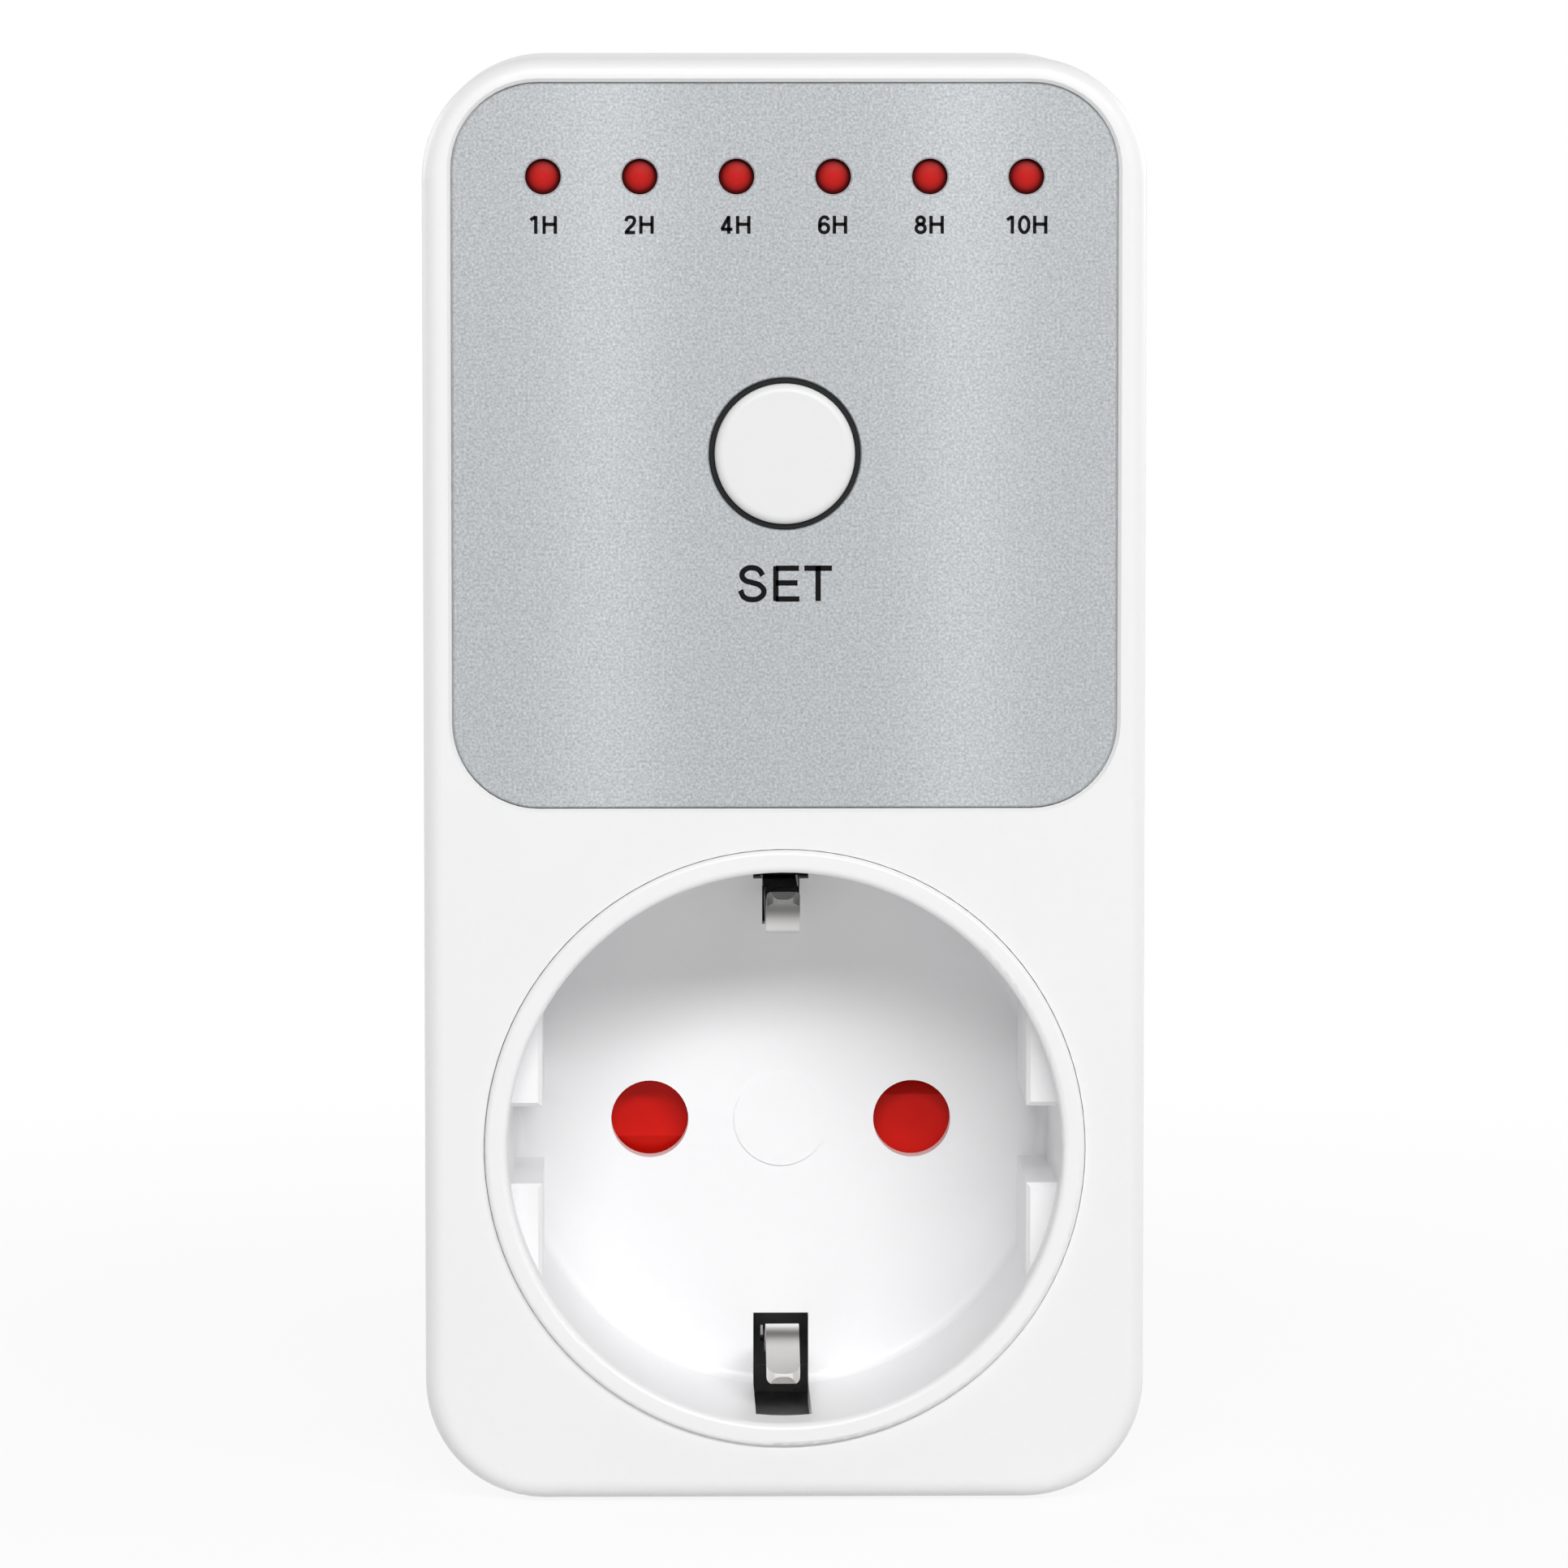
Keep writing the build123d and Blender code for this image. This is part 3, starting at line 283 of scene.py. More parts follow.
finishes = {
    "housing_white": moulded(
        "moulded_white_housing", (244, 244, 244), 0.42, 0.22 * MM, 0.004 * MM),
    "socket_white": moulded(
        "moulded_white_socket", (246, 246, 247), 0.36, 0.3 * MM, 0.003 * MM),
    "button_white": moulded(
        "moulded_white_button", (236, 236, 236), 0.4, 0.18 * MM, 0.003 * MM),
    "ring_black": moulded(
        "moulded_dark_ring", (26, 28, 28), 0.6, 0.15 * MM, 0.004 * MM, tint=0.85, shine=0.2),
    "plunger_white": moulded(
        "plunger_plastic", (226, 224, 216), 0.38, 0.3 * MM, 0.003 * MM, tint=0.96),
    "holder_black": moulded(
        "lamp_holder_plastic", (36, 36, 38), 0.5, 0.25 * MM, 0.005 * MM, tint=0.85),
    "carrier_grey": moulded(
        "carrier_plastic", (70, 70, 72), 0.5, 0.3 * MM, 0.005 * MM, tint=0.9),
}
print("moulded finishes:", len(finishes))

# %% [markdown]
# ## The panel
# The panel is a thin sheet lacquered silver. Lacquer with metal flakes looks like a fine grain,
# here a noise of about a tenth of a millimetre, part metal and part paint. Two soft paler bands run
# down it: a painted reflection of strip lights, put into the base colour. A band is a bell curve of
# the distance from its middle line, and both bands come from one formula, because the distance is
# measured from the absolute value of X.

# %% Finish of the panel
REFLECTION_BAND_X, REFLECTION_BAND_WIDTH = 12.6 * MM, 4.2 * MM
FLAKE_SIZE = 0.09 * MM


def bell(square):
    """A bell curve of a distance, from the square of that distance: 1 at no distance."""
    return (square * -1.0).math("EXPONENT")


def silver_panel():
    """Silver lacquer with flakes and two soft bands of painted reflection."""
    finish = Finish("silver_lacquer")
    across, _, _ = finish.axes()
    away = (across.math("ABSOLUTE") - REFLECTION_BAND_X) / REFLECTION_BAND_WIDTH
    flakes = finish.noise(FLAKE_SIZE, 1.0)
    plain = finish.blend(flakes, rgb(131, 135, 139), rgb(211, 215, 218))
    # painted reflection: the paler tone of the two bands stands for strip lights reflected in the
    # lacquer
    pale = finish.blend(flakes, rgb(143, 147, 151), rgb(223, 227, 230))
    finish.set(Base_Color=finish.blend(bell(away * away), plain, pale))
    finish.set(Metallic=flakes * 0.3 + 0.15)
    finish.gloss(0.44, flakes, 0.2)
    finish.bump(flakes, 0.002 * MM)
    return finish.material


finishes["panel_silver"] = silver_panel()
print("panel bands at", REFLECTION_BAND_X / MM, "mm either side of the middle")

# %% [markdown]
# ## The lamps
# A lamp is red resin. It is bright in the middle and nearly black at the edge of its hole: painted
# shade, standing for the shadow that the hole's wall casts on the dome. That is a colour ramp over
# the distance from the lamp's own axis. The lamps stand one pitch apart, so Wrap folds X into one
# pitch, and one material serves all six.

# %% Finish of the lamps
LAMP_PITCH = (lamp_centre["led_10h"].x - lamp_centre["led_1h"].x) / (len(LAMPS) - 1)
LAMP_Z = lamp_centre["led_1h"].z
LAMP_RADIUS = 1.25 * MM
# the ramp's colours from the lamp's axis out to its hole's edge; the darkening is painted shade
LAMP_SHADE_STOPS = [
    (0.0, (0.58, 0.016, 0.014)),
    (0.42, (0.52, 0.014, 0.012)),
    (0.66, (0.36, 0.011, 0.010)),
    (0.85, (0.11, 0.003, 0.003)),
    (1.0, (0.03, 0.002, 0.002)),
]


def lamp_resin():
    """Red resin with painted shade that darkens it towards the edge of each lamp."""
    finish = Finish("red_lamp_resin")
    across, _, up = finish.axes()
    x = across.math("WRAP", LAMP_PITCH, 0.0) - LAMP_PITCH / 2
    z = up - LAMP_Z
    distance = (x * x + z * z).math("SQRT") / LAMP_RADIUS
    ramp = finish.node("ShaderNodeValToRGB", {0: distance}, stops=LAMP_SHADE_STOPS)
    finish.set(Base_Color=finish.out(ramp), Specular_IOR_Level=0.1)
    finish.gloss(0.45, finish.noise(0.5 * MM), 0.1)
    finish.bump(finish.noise(0.4 * MM), 0.004 * MM)
    return finish.material


finishes["lamp_red"] = lamp_resin()
print("lamp pitch", round(LAMP_PITCH / MM, 2), "mm")

# %% [markdown]
# ## The shutter
# The shutter shows only through the two pin holes, as a patch of red in each. It is a satin
# moulding as the shells are, but its specular level is low, because a strong red turns pink under
# too much gloss.

# %% Finish of the shutter
def shutter_plastic():
    """Satin red plastic with faint clouds."""
    finish = Finish("red_shutter_plastic")
    clouds = finish.noise(2.2 * MM)
    finish.set(Base_Color=finish.blend(clouds, rgb(188, 12, 5), rgb(218, 26, 12)))
    finish.set(Specular_IOR_Level=0.15)
    finish.gloss(0.35, clouds, 0.1)
    finish.bump(finish.noise(0.8 * MM), 0.006 * MM)
    return finish.material


finishes["shutter_red"] = shutter_plastic()
print("red finishes: lamps and shutter")

# %% [markdown]
# ## Bare metals
# Strip and wire are drawn through dies, so their fine scratches run along the stroke. A noise whose
# coordinates are squeezed along one axis makes streaks along that axis. Screws and springs are
# finished loose in a barrel, so theirs are squeezed evenly, which gives spots without a direction.
# Clouds of a few millimetres vary the gloss, as handling and tarnish do. The nickel strips in the
# socket are darkened in two places by painted shade: a painted shadow on the top strip, under the
# top of the socket's mouth, and a painted dark band across the bottom strip. Each darkened place is
# a bell curve of the distance from a line across the strip.

# %% Finishes of the metals
STREAK_WIDTH, STREAK_DEPTH, TARNISH_SIZE = 0.05 * MM, 0.0015 * MM, 3.0 * MM
# how much of a metal's brightness is left under tarnish and under painted shade
TARNISHED, SHADED_SHARE = 0.86, 0.38
# Y and Z of each patch of painted shade, its radius and its strength
PAINTED_SHADE_SPOTS = [
    (-46.6 * MM, 16.5 * MM, 2.4 * MM, 1.0),
    (-43.4 * MM, -14.65 * MM, 0.85 * MM, 0.85),
]


def metal(name, colour, roughness, lay=(1.0, 30.0, 1.0), spots=()):
    """Bare metal whose scratches are as many times longer along each axis as lay says."""
    finish = Finish(name)
    streaks = finish.noise(STREAK_WIDTH, 2.0, finish.stretched(lay))
    tarnish = finish.noise(TARNISH_SIZE, 3.0)
    tone = finish.blend(tarnish, tinted(colour, TARNISHED), rgb(*colour))
    # painted shade: each spot darkens the metal's tone by a bell curve about its line
    for y, z, radius, strength in spots:
        _, deep, up = finish.axes()
        away, above = (deep - y) / radius, (up - z) / radius
        shade_patch = bell(away * away + above * above)
        tone = finish.blend(shade_patch * strength, tone, tinted(colour, SHADED_SHARE))
    finish.set(Base_Color=tone, Metallic=1.0)
    finish.set(Roughness=tarnish * 0.1 + streaks * 0.08 + (roughness - 0.09))
    finish.bump(streaks, STREAK_DEPTH)
    return finish.material


finishes["nickel"] = metal("nickel_plate", (249, 247, 244), 0.22, spots=PAINTED_SHADE_SPOTS)
finishes["contact_brass"] = metal("contact_brass", (214, 176, 106), 0.3)
finishes["screw_steel"] = metal("zinc_plated_steel", (196, 198, 202), 0.32, (8.0, 8.0, 8.0))
finishes["spring_steel"] = metal("spring_wire", (176, 178, 182), 0.24, (4.0, 4.0, 4.0))
finishes["tinned_wire"] = metal("tinned_wire", (206, 208, 210), 0.3, (1.0, 20.0, 1.0))
print("metals ready; dull spots:", len(PAINTED_SHADE_SPOTS))

# %% [markdown]
# ## The circuit board
# The board is glass cloth under green lacquer. Copper tracks stand up under the lacquer as paler
# lines. A large soft noise is cut into steps, and the first third of each step is a line. Rounding
# the coordinates to a grid first turns the lines into tracks with square corners.

# %% Finish of the board
TRACK_GRID, FIELD_SIZE = 1.0 * MM, 7.0 * MM
TRACK_STEPS, TRACK_SHARE = 14.0, 0.34


def green_board():
    """Green lacquered board with tracks and the weave of its glass cloth."""
    finish = Finish("green_board")
    snapped = finish.node("ShaderNodeVectorMath", {
        0: finish.place, 1: (TRACK_GRID,) * 3}, operation="SNAP")
    field = finish.noise(FIELD_SIZE, 0.0, finish.out(snapped))
    track = (field * TRACK_STEPS).math("FRACT").math("LESS_THAN", TRACK_SHARE)
    weave = finish.noise(0.3 * MM, 2.0, finish.stretched((1.0, 1.0, 6.0)))
    lacquer = finish.blend(weave, rgb(16, 74, 40), rgb(26, 92, 52))
    finish.set(Base_Color=finish.blend(track, lacquer, rgb(44, 124, 68)))
    finish.gloss(0.33, weave, 0.1)
    finish.bump(track * 0.6 + weave * 0.2, 0.035 * MM)
    return finish.material


finishes["board_green"] = green_board()
print("tracks on a", TRACK_GRID / MM, "mm grid")

# %% [markdown]
# ## Parts with legs
# A part with wire legs is one CAD node, so its finish switches from body to tinned metal at a depth
# or at a distance that is read from the frame. That switch is a mask of 0 and 1. A mask is a
# function of X, Y and Z, so a finish can take any mask without knowing how it is worked out. Two
# small functions make nearly all of them. The large parts stand behind the board, with their legs
# through it. The switch stands in front of it, where the same mask makes its whole case bare metal.

# %% Masks, and a finish that uses them
ACROSS, DEEP, UP = range(3)
BOARD_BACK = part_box("control_board")[1].y
TINNED = rgb(204, 206, 208)


def in_front_of(depth):
    """A mask of what lies in front of a depth."""
    return lambda *place: place[DEEP].math("LESS_THAN", depth)


def beyond(axis, centre, half):
    """A mask of what lies further than half from a centre, along one axis."""
    return lambda *place: (place[axis] - centre).math("ABSOLUTE").math("GREATER_THAN", half)


def legged(name, colour, roughness, leg_of, mark_of=None, mark=(200, 200, 200)):
    """A part's body, with tinned metal where leg_of is 1 and a printed mark where mark_of is 1."""
    finish = Finish(name)
    place = finish.axes()
    legs, speckle = leg_of(*place), finish.noise(1.5 * MM, 3.0)
    body = finish.blend(speckle, tinted(colour, 0.9), rgb(*colour))
    if mark_of:
        body = finish.blend(mark_of(*place), body, rgb(*mark))
    finish.set(Base_Color=finish.blend(legs, body, TINNED), Metallic=legs)
    finish.gloss(roughness, speckle)
    finish.bump(finish.noise(0.3 * MM), 0.008 * MM)
    return finish.material


through_board = in_front_of(BOARD_BACK)
finishes["relay_blue"] = legged("relay_case", (30, 74, 148), 0.3, through_board)
finishes["film_yellow"] = legged("film_capacitor_case", (226, 178, 40), 0.34, through_board)
finishes["varistor_blue"] = legged("varistor_coating", (44, 84, 150), 0.24, through_board)
finishes["switch_black"] = legged("switch_case", (40, 40, 44), 0.42, through_board)
print("board's back at", round(BOARD_BACK / MM, 2), "mm")

# %% [markdown]
# The fuse and the resistors lie flat, with a cap or a leg at each end, so their masks measure the
# distance from their middle. The can has a bare end and a pale stripe down its sleeve, and the
# resistors have rings of paint.

# %% Finishes of the can, the fuse and the resistors
FUSE_HALF, RESISTOR_HALF = 2.5 * MM, 3.15 * MM
PAINT_PITCH, PAINT_SHARE = 1.2 * MM, 0.35
CAN_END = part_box("electrolytic_capacitor")[1].y - 0.02 * MM
STRIPE_X = middle("electrolytic_capacitor").x - 3.4 * MM
RESISTOR_Z = middle("resistors").z


def can_metal(across, deep, up):
    """The can's legs, and the bare metal of its end."""
    return through_board(across, deep, up) + deep.math("GREATER_THAN", CAN_END)


def can_stripe(across, deep, up):
    """The pale stripe down one side of the can's sleeve."""
    return across.math("LESS_THAN", STRIPE_X)


def paint_rings(across, deep, up):
    """Rings of paint round the resistors, one pitch apart."""
    return ((up - RESISTOR_Z) / PAINT_PITCH).math("FRACT").math("LESS_THAN", PAINT_SHARE)


finishes["can_sleeve"] = legged(
    "capacitor_sleeve", (34, 36, 52), 0.3, can_metal, can_stripe, (206, 206, 198))
finishes["fuse_body"] = legged(
    "fuse_tube", (224, 218, 204), 0.3, beyond(ACROSS, 0.0, FUSE_HALF))
finishes["resistor_tan"] = legged(
    "resistor_lacquer", (196, 158, 112), 0.4, beyond(UP, RESISTOR_Z, RESISTOR_HALF),
    paint_rings, (120, 56, 30))
print("paint rings on the resistors", PAINT_PITCH / MM, "mm apart")

# %% [markdown]
# Three small parts share one dark moulding compound: the diodes, the chip and the transistor. The
# diodes and the chip have legs above and below, at different distances, and the transistor's go to
# the front, so each gets its own mask. The diodes also have a pale ring near one end.

# %% Finishes of the small dark parts
DIODE_HALF, DIODE_RING, DIODE_RING_HALF = 2.5 * MM, 1.6 * MM, 0.4 * MM
CHIP_HALF, TRANSISTOR_BODY = 2.0 * MM, 4.7 * MM
DIODE_Z, CHIP_Z = middle("rectifier_diodes").z, middle("timer_chip").z
TRANSISTOR_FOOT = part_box("driver_transistor")[1].y - TRANSISTOR_BODY


def diode_ring(across, deep, up):
    """The pale ring near one end of each diode."""
    return (up - DIODE_Z).math("COMPARE", DIODE_RING, DIODE_RING_HALF)


dark_parts = {
    "rectifier_diodes": legged(
        "diode_body", (38, 38, 40), 0.36, beyond(UP, DIODE_Z, DIODE_HALF), diode_ring),
    "timer_chip": legged("chip_body", (34, 34, 36), 0.48, beyond(UP, CHIP_Z, CHIP_HALF)),
    "driver_transistor": legged(
        "transistor_body", (36, 36, 38), 0.44, in_front_of(TRANSISTOR_FOOT)),
}
print("dark parts:", len(dark_parts))

# %% [markdown]
# ## The inner leads
# A lead's insulation is extruded plastic, brown for line and blue for neutral. It is satin, its
# tone clouds slightly, and the die leaves faint relief.

# %% Finishes of the leads
def insulation(name, colour):
    """Extruded lead insulation: satin, with faint relief."""
    finish = Finish(name)
    clouds = finish.noise(2.5 * MM)
    finish.set(Base_Color=finish.blend(clouds, tinted(colour, 0.88), rgb(*colour)))
    finish.gloss(0.42, clouds)
    finish.bump(finish.noise(0.25 * MM), 0.01 * MM)
    return finish.material


finishes["lead_brown"] = insulation("brown_insulation", (104, 62, 36))
finishes["lead_blue"] = insulation("blue_insulation", (40, 92, 168))
print("finishes:", len(finishes) + len(dark_parts))

# %% [markdown]
# ## Dressing the CAD nodes
# The record names a material slot for each node. Each node has a single material, so its list of
# materials is replaced as a whole. Its vertices and faces stay as they are, which the frame
# requires.

# %% Give every CAD node its finish
def dress(piece, material):
    """Make a material the only one of a piece."""
    piece.data.materials.clear()
    piece.data.materials.append(material)


for part in frame["record"]["subparts"]:
    name = part["node"]
    dress(nodes[name], dark_parts.get(name) or finishes[part["material_slot"]])

# %% [markdown]
# ## Geometry Nodes as Python
# What repeats or follows a path is grown by a Geometry Nodes tree: the lettering's strokes, the
# coiled spring and the screws. The same Graph class writes those trees. A tree's sizes are named
# inputs, and a modifier's input is set by the socket's identifier. The evaluated result is copied
# into a plain mesh, so that no modifier is left and every instance is real.

# %% A tree with named inputs, and the step that runs it
class Tree(Graph):
    """A Geometry Nodes tree whose sizes are named inputs."""

    def __init__(self, name, **sizes):
        super().__init__(bpy.data.node_groups.new(name, "GeometryNodeTree"))
        self.sizes = sizes
        interface = self.tree.interface
        interface.new_socket("Geometry", in_out="INPUT", socket_type="NodeSocketGeometry")
        interface.new_socket("Geometry", in_out="OUTPUT", socket_type="NodeSocketGeometry")
        for size in sizes:
            interface.new_socket(size, in_out="INPUT", socket_type="NodeSocketFloat")
        self.entry = self.node("NodeGroupInput")

    def size(self, name):
        return self.out(self.entry, name)

    def vector(self, x=0.0, y=0.0, z=0.0):
        return self.out(self.node("ShaderNodeCombineXYZ", {0: x, 1: y, 2: z}))

    def moved(self, geometry, place=(0, 0, 0), turn=(0, 0, 0), scale=(1, 1, 1)):
        return self.out(self.node("GeometryNodeTransform", {
            "Geometry": geometry, "Translation": place, "Rotation": turn, "Scale": scale}))

    def joined(self, *geometries):
        return self.out(self.node("GeometryNodeJoinGeometry", {0: list(geometries)}))

    def swept(self, curve, section):
        """The solid that a section leaves along a curve."""
        return self.out(self.node("GeometryNodeCurveToMesh", {
            "Curve": curve, "Profile Curve": section, "Fill Caps": True}))

    def end(self, geometry, material, smooth=True):
        """Realize the instances, set the material and finish the tree."""
        real = self.out(self.node("GeometryNodeRealizeInstances", {"Geometry": geometry}))
        shaded = self.out(self.node("GeometryNodeSetShadeSmooth", {
            "Geometry": real, "Shade Smooth": smooth}))
        coloured = self.out(self.node("GeometryNodeSetMaterial", {
            "Geometry": shaded, "Material": material}))
        self.node("NodeGroupOutput", {0: coloured})

    def grow(self, name, start):
        """Run the tree on the start data and keep the result as a plain mesh object."""
        holder = bpy.data.objects.new(name + "_start", start)
        bpy.context.scene.collection.objects.link(holder)
        modifier = holder.modifiers.new("grow", "NODES")
        modifier.node_group = self.tree
        for item in self.tree.interface.items_tree:
            if item.name in self.sizes:
                modifier[item.identifier] = self.sizes[item.name]
        ready = holder.evaluated_get(bpy.context.evaluated_depsgraph_get())
        mesh = bpy.data.meshes.new_from_object(ready)
        holder.modifiers.remove(modifier)
        bpy.data.objects.remove(holder)
        mesh.name = name
        piece = bpy.data.objects.new(name, mesh)
        bpy.context.scene.collection.objects.link(piece)
        print(name, "triangles:", sum(len(face.vertices) - 2 for face in mesh.polygons))
        return piece


# %% [markdown]
# ## Lettering
# The panel is printed with the hours under the lamps and SET under the button. Each character here
# is a few strokes on a unit cap height: straight strokes as corner points, round ones as smooth
# curves through their points. Text objects would also do, but strokes keep an even width and need
# no font.

# %% The strokes of each character
STRAIGHT, ROUND, CLOSED = "straight", "round", "closed"


def oval(centre, radii, count=8):
    """A closed oval stroke."""
    turns = [2 * pi * i / count for i in range(count)]
    x, z = centre
    return [(CLOSED, [(x + radii[0] * cos(turn), z + radii[1] * sin(turn)) for turn in turns])]


def arc(*points):
    """A smooth stroke through points."""
    return [(ROUND, list(points))]


def bars(*ends):
    """Straight strokes, each from one point to another."""
    return [(STRAIGHT, [ends[i], ends[i + 1]]) for i in range(0, len(ends), 2)]


GLYPHS = {
    "1": bars((0.19, 0.77), (0.48, 0.96), (0.49, 0.0), (0.49, 1.0)),
    "2": arc((0.125, 0.70), (0.18, 0.87), (0.37, 0.935), (0.55, 0.87), (0.60, 0.72),
             (0.51, 0.52), (0.29, 0.29), (0.13, 0.09)) + bars((0.05, 0.07), (0.635, 0.07)),
    "4": bars((0.07, 0.25), (0.46, 0.96), (0.03, 0.25), (0.67, 0.25), (0.46, 0.0), (0.46, 1.0)),
    "6": oval((0.385, 0.31), (0.25, 0.245)) + arc(
        (0.135, 0.36), (0.145, 0.62), (0.24, 0.86), (0.42, 0.935), (0.56, 0.87), (0.62, 0.76)),
    "8": oval((0.375, 0.735), (0.205, 0.195)) + oval((0.375, 0.29), (0.25, 0.225)),
    "0": oval((0.375, 0.5), (0.255, 0.435)),
    "H": bars((0.182, 0.0), (0.182, 1.0), (0.807, 0.0), (0.807, 1.0), (0.182, 0.53),
              (0.807, 0.53)),
    "S": arc((0.72, 0.73), (0.63, 0.88), (0.43, 0.955), (0.21, 0.89), (0.135, 0.74),
             (0.22, 0.60), (0.43, 0.53), (0.66, 0.44), (0.76, 0.27), (0.66, 0.11),
             (0.43, 0.045), (0.19, 0.12), (0.09, 0.31)),
    "E": bars((0.17, 0.0), (0.17, 1.0), (0.17, 0.94), (0.83, 0.94), (0.17, 0.52), (0.79, 0.52),
              (0.17, 0.06), (0.844, 0.06)),
    "T": bars((0.05, 0.94), (0.842, 0.94), (0.446, 0.0), (0.446, 1.0)),
}
DIGIT_ADVANCE = 0.777
ADVANCE = {"H": 1.008, "S": 0.931, "E": 0.931, "T": 0.853}
print("characters:", "".join(GLYPHS))

# %% [markdown]
# A word is written into one flat curve object, character by character. A pen moves on by each
# character's advance, and starts half the word's width left of the centre.

# %% Write a word into a curve
def advance(letter):
    """The width that a character takes up in a word."""
    return ADVANCE.get(letter, DIGIT_ADVANCE)


def write(curve, word, centre, cap):
    """Adds the strokes of a word to a flat curve, centred on a point."""
    pen = centre[0] - cap * sum(map(advance, word)) / 2
    for letter in word:
        for kind, points in GLYPHS[letter]:
            spline = curve.splines.new("BEZIER")
            spline.bezier_points.add(len(points) - 1)
            spline.use_cyclic_u = kind == CLOSED
            for point, (x, y) in zip(spline.bezier_points, points):
                handle = "VECTOR" if kind == STRAIGHT else "AUTO"
                point.handle_left_type = point.handle_right_type = handle
                point.co = (pen + cap * x, centre[1] + cap * (y - 0.5), 0.0)
        pen += cap * advance(letter)


print("SET is", round(sum(map(advance, "SET")), 2), "cap heights wide")

# %% [markdown]
# The strokes are printed in matt black ink. A tree gives them their width and a very thin layer of
# ink, and stands them up on the panel's front. A weight is a stroke's width as a share of the cap
# height. The hours are small, so they are printed bolder than SET to stay readable.

# %% The ink, and the words in it
HOURS_CAP, HOURS_WEIGHT, HOURS_BELOW_LAMP = 1.25 * MM, 0.19, 3.37 * MM
SET_CAP, SET_WEIGHT, SET_BELOW_BUTTON = 2.46 * MM, 0.155, 9.13 * MM
INK_THICKNESS = 0.02 * MM


def black_ink():
    """Matt screen-printing ink."""
    finish = Finish("black_ink")
    speckle = finish.noise(0.06 * MM)
    finish.set(Base_Color=finish.blend(speckle, rgb(4, 4, 5), rgb(14, 14, 15)))
    finish.set(Specular_IOR_Level=0.1)
    finish.gloss(0.575, speckle, 0.15)
    finish.bump(speckle, 0.002 * MM)
    return finish.material


def lettering(name, words, cap, weight):
    """Words on the panel; each has its text and its centre in X and Z."""
    curve = bpy.data.curves.new(name, "CURVE")
    curve.dimensions = "3D"
    for word, centre in words:
        write(curve, word, centre, cap)
    tree = Tree(name, Stroke=cap * weight, Ink=INK_THICKNESS, Front=PANEL_FRONT)
    flat = tree.node("GeometryNodeSetCurveNormal", {
        "Curve": tree.size("Geometry")}, mode="Z_UP")
    section = tree.node("GeometryNodeCurvePrimitiveQuadrilateral", {
        "Width": tree.size("Stroke"), "Height": tree.size("Ink")})
    ribbon = tree.swept(tree.out(flat), tree.out(section))
    upright = tree.moved(ribbon, tree.vector(y=tree.size("Front")), (pi / 2, 0, 0))
    tree.end(upright, ink, smooth=False)
    piece = tree.grow(name, curve)
    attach(piece, "housing")


ink = black_ink()
hours = []
for name in LAMPS:
    word = name.removeprefix("led_").upper()
    hours.append((word, (lamp_centre[name].x, LAMP_Z - HOURS_BELOW_LAMP)))
lettering("hour_labels", hours, HOURS_CAP, HOURS_WEIGHT)
lettering("set_label", [("SET", (0.0, BUTTON_Z - SET_BELOW_BUTTON))], SET_CAP, SET_WEIGHT)

# %% [markdown]
# ## The housing screws
# Four pan-head screws hold the shells together from behind. They are the same screw four times, so
# a tree makes one and puts it on four points, each with its own turn, as a screwdriver leaves them.
# The points come from the CAD screws, which share one node: the screws stand in its four quarters,
# so each quarter's own vertices give a seat and the head's radius.

# %% The points that the screws stand on
HEAD_HEIGHT, DOME_HEIGHT = 1.8 * MM, 0.9 * MM
SHANK_RADIUS, SHANK_LENGTH = 1.15 * MM, 14.0 * MM
THREAD_HEIGHT, THREAD_PITCH = 0.3 * MM, 1.0 * MM
RECESS_REACH = 1.5 * MM


def screw_places(node):
    """The middle of each screw's seat, and the radius of the heads."""
    points = [vertex.co for vertex in nodes[node].data.vertices]
    middle_z = middle(node).z
    seats = []
    for right in (False, True):
        for upper in (False, True):
            own = [p for p in points if (p.x > 0) == right and (p.z > middle_z) == upper]
            low = Vector([min(p[i] for p in own) for i in range(3)])
            high = Vector([max(p[i] for p in own) for i in range(3)])
            seats.append(((low.x + high.x) / 2, high.y - HEAD_HEIGHT, (low.z + high.z) / 2))
    return seats, (high.x - low.x) / 2


seats, head_radius = screw_places("housing_screws")
screw = Tree("housing_screws", Head=head_radius, Rise=HEAD_HEIGHT, Dome=DOME_HEIGHT,
             Shank=SHANK_RADIUS, Length=SHANK_LENGTH, Thread=THREAD_HEIGHT, Pitch=THREAD_PITCH,
             Recess=RECESS_REACH)
print("screw heads", round(2 * head_radius / MM, 2), "mm across, screws:", len(seats))

# %% [markdown]
# The head is a cylinder whose top face is raised to a dome by a formula, and a Mesh Boolean cuts
# the cross recess from it. What it cuts with is a blunt point with four sides, flattened to a blade
# once along each axis. The thread is a spiral with a pointed section, wound on the shank.

# %% Grow the screws
HEAD_SIDES, HEAD_RINGS, SHANK_SIDES = 40, 7, 24
# the blade's foot, height, depth in the head and thickness, as shares of the recess's reach
BLADE_FOOT, BLADE_HEIGHT, BLADE_DEPTH, BLADE_THICKNESS = 0.5, 1.2, 0.75, 0.2
TURN_SEED = 4


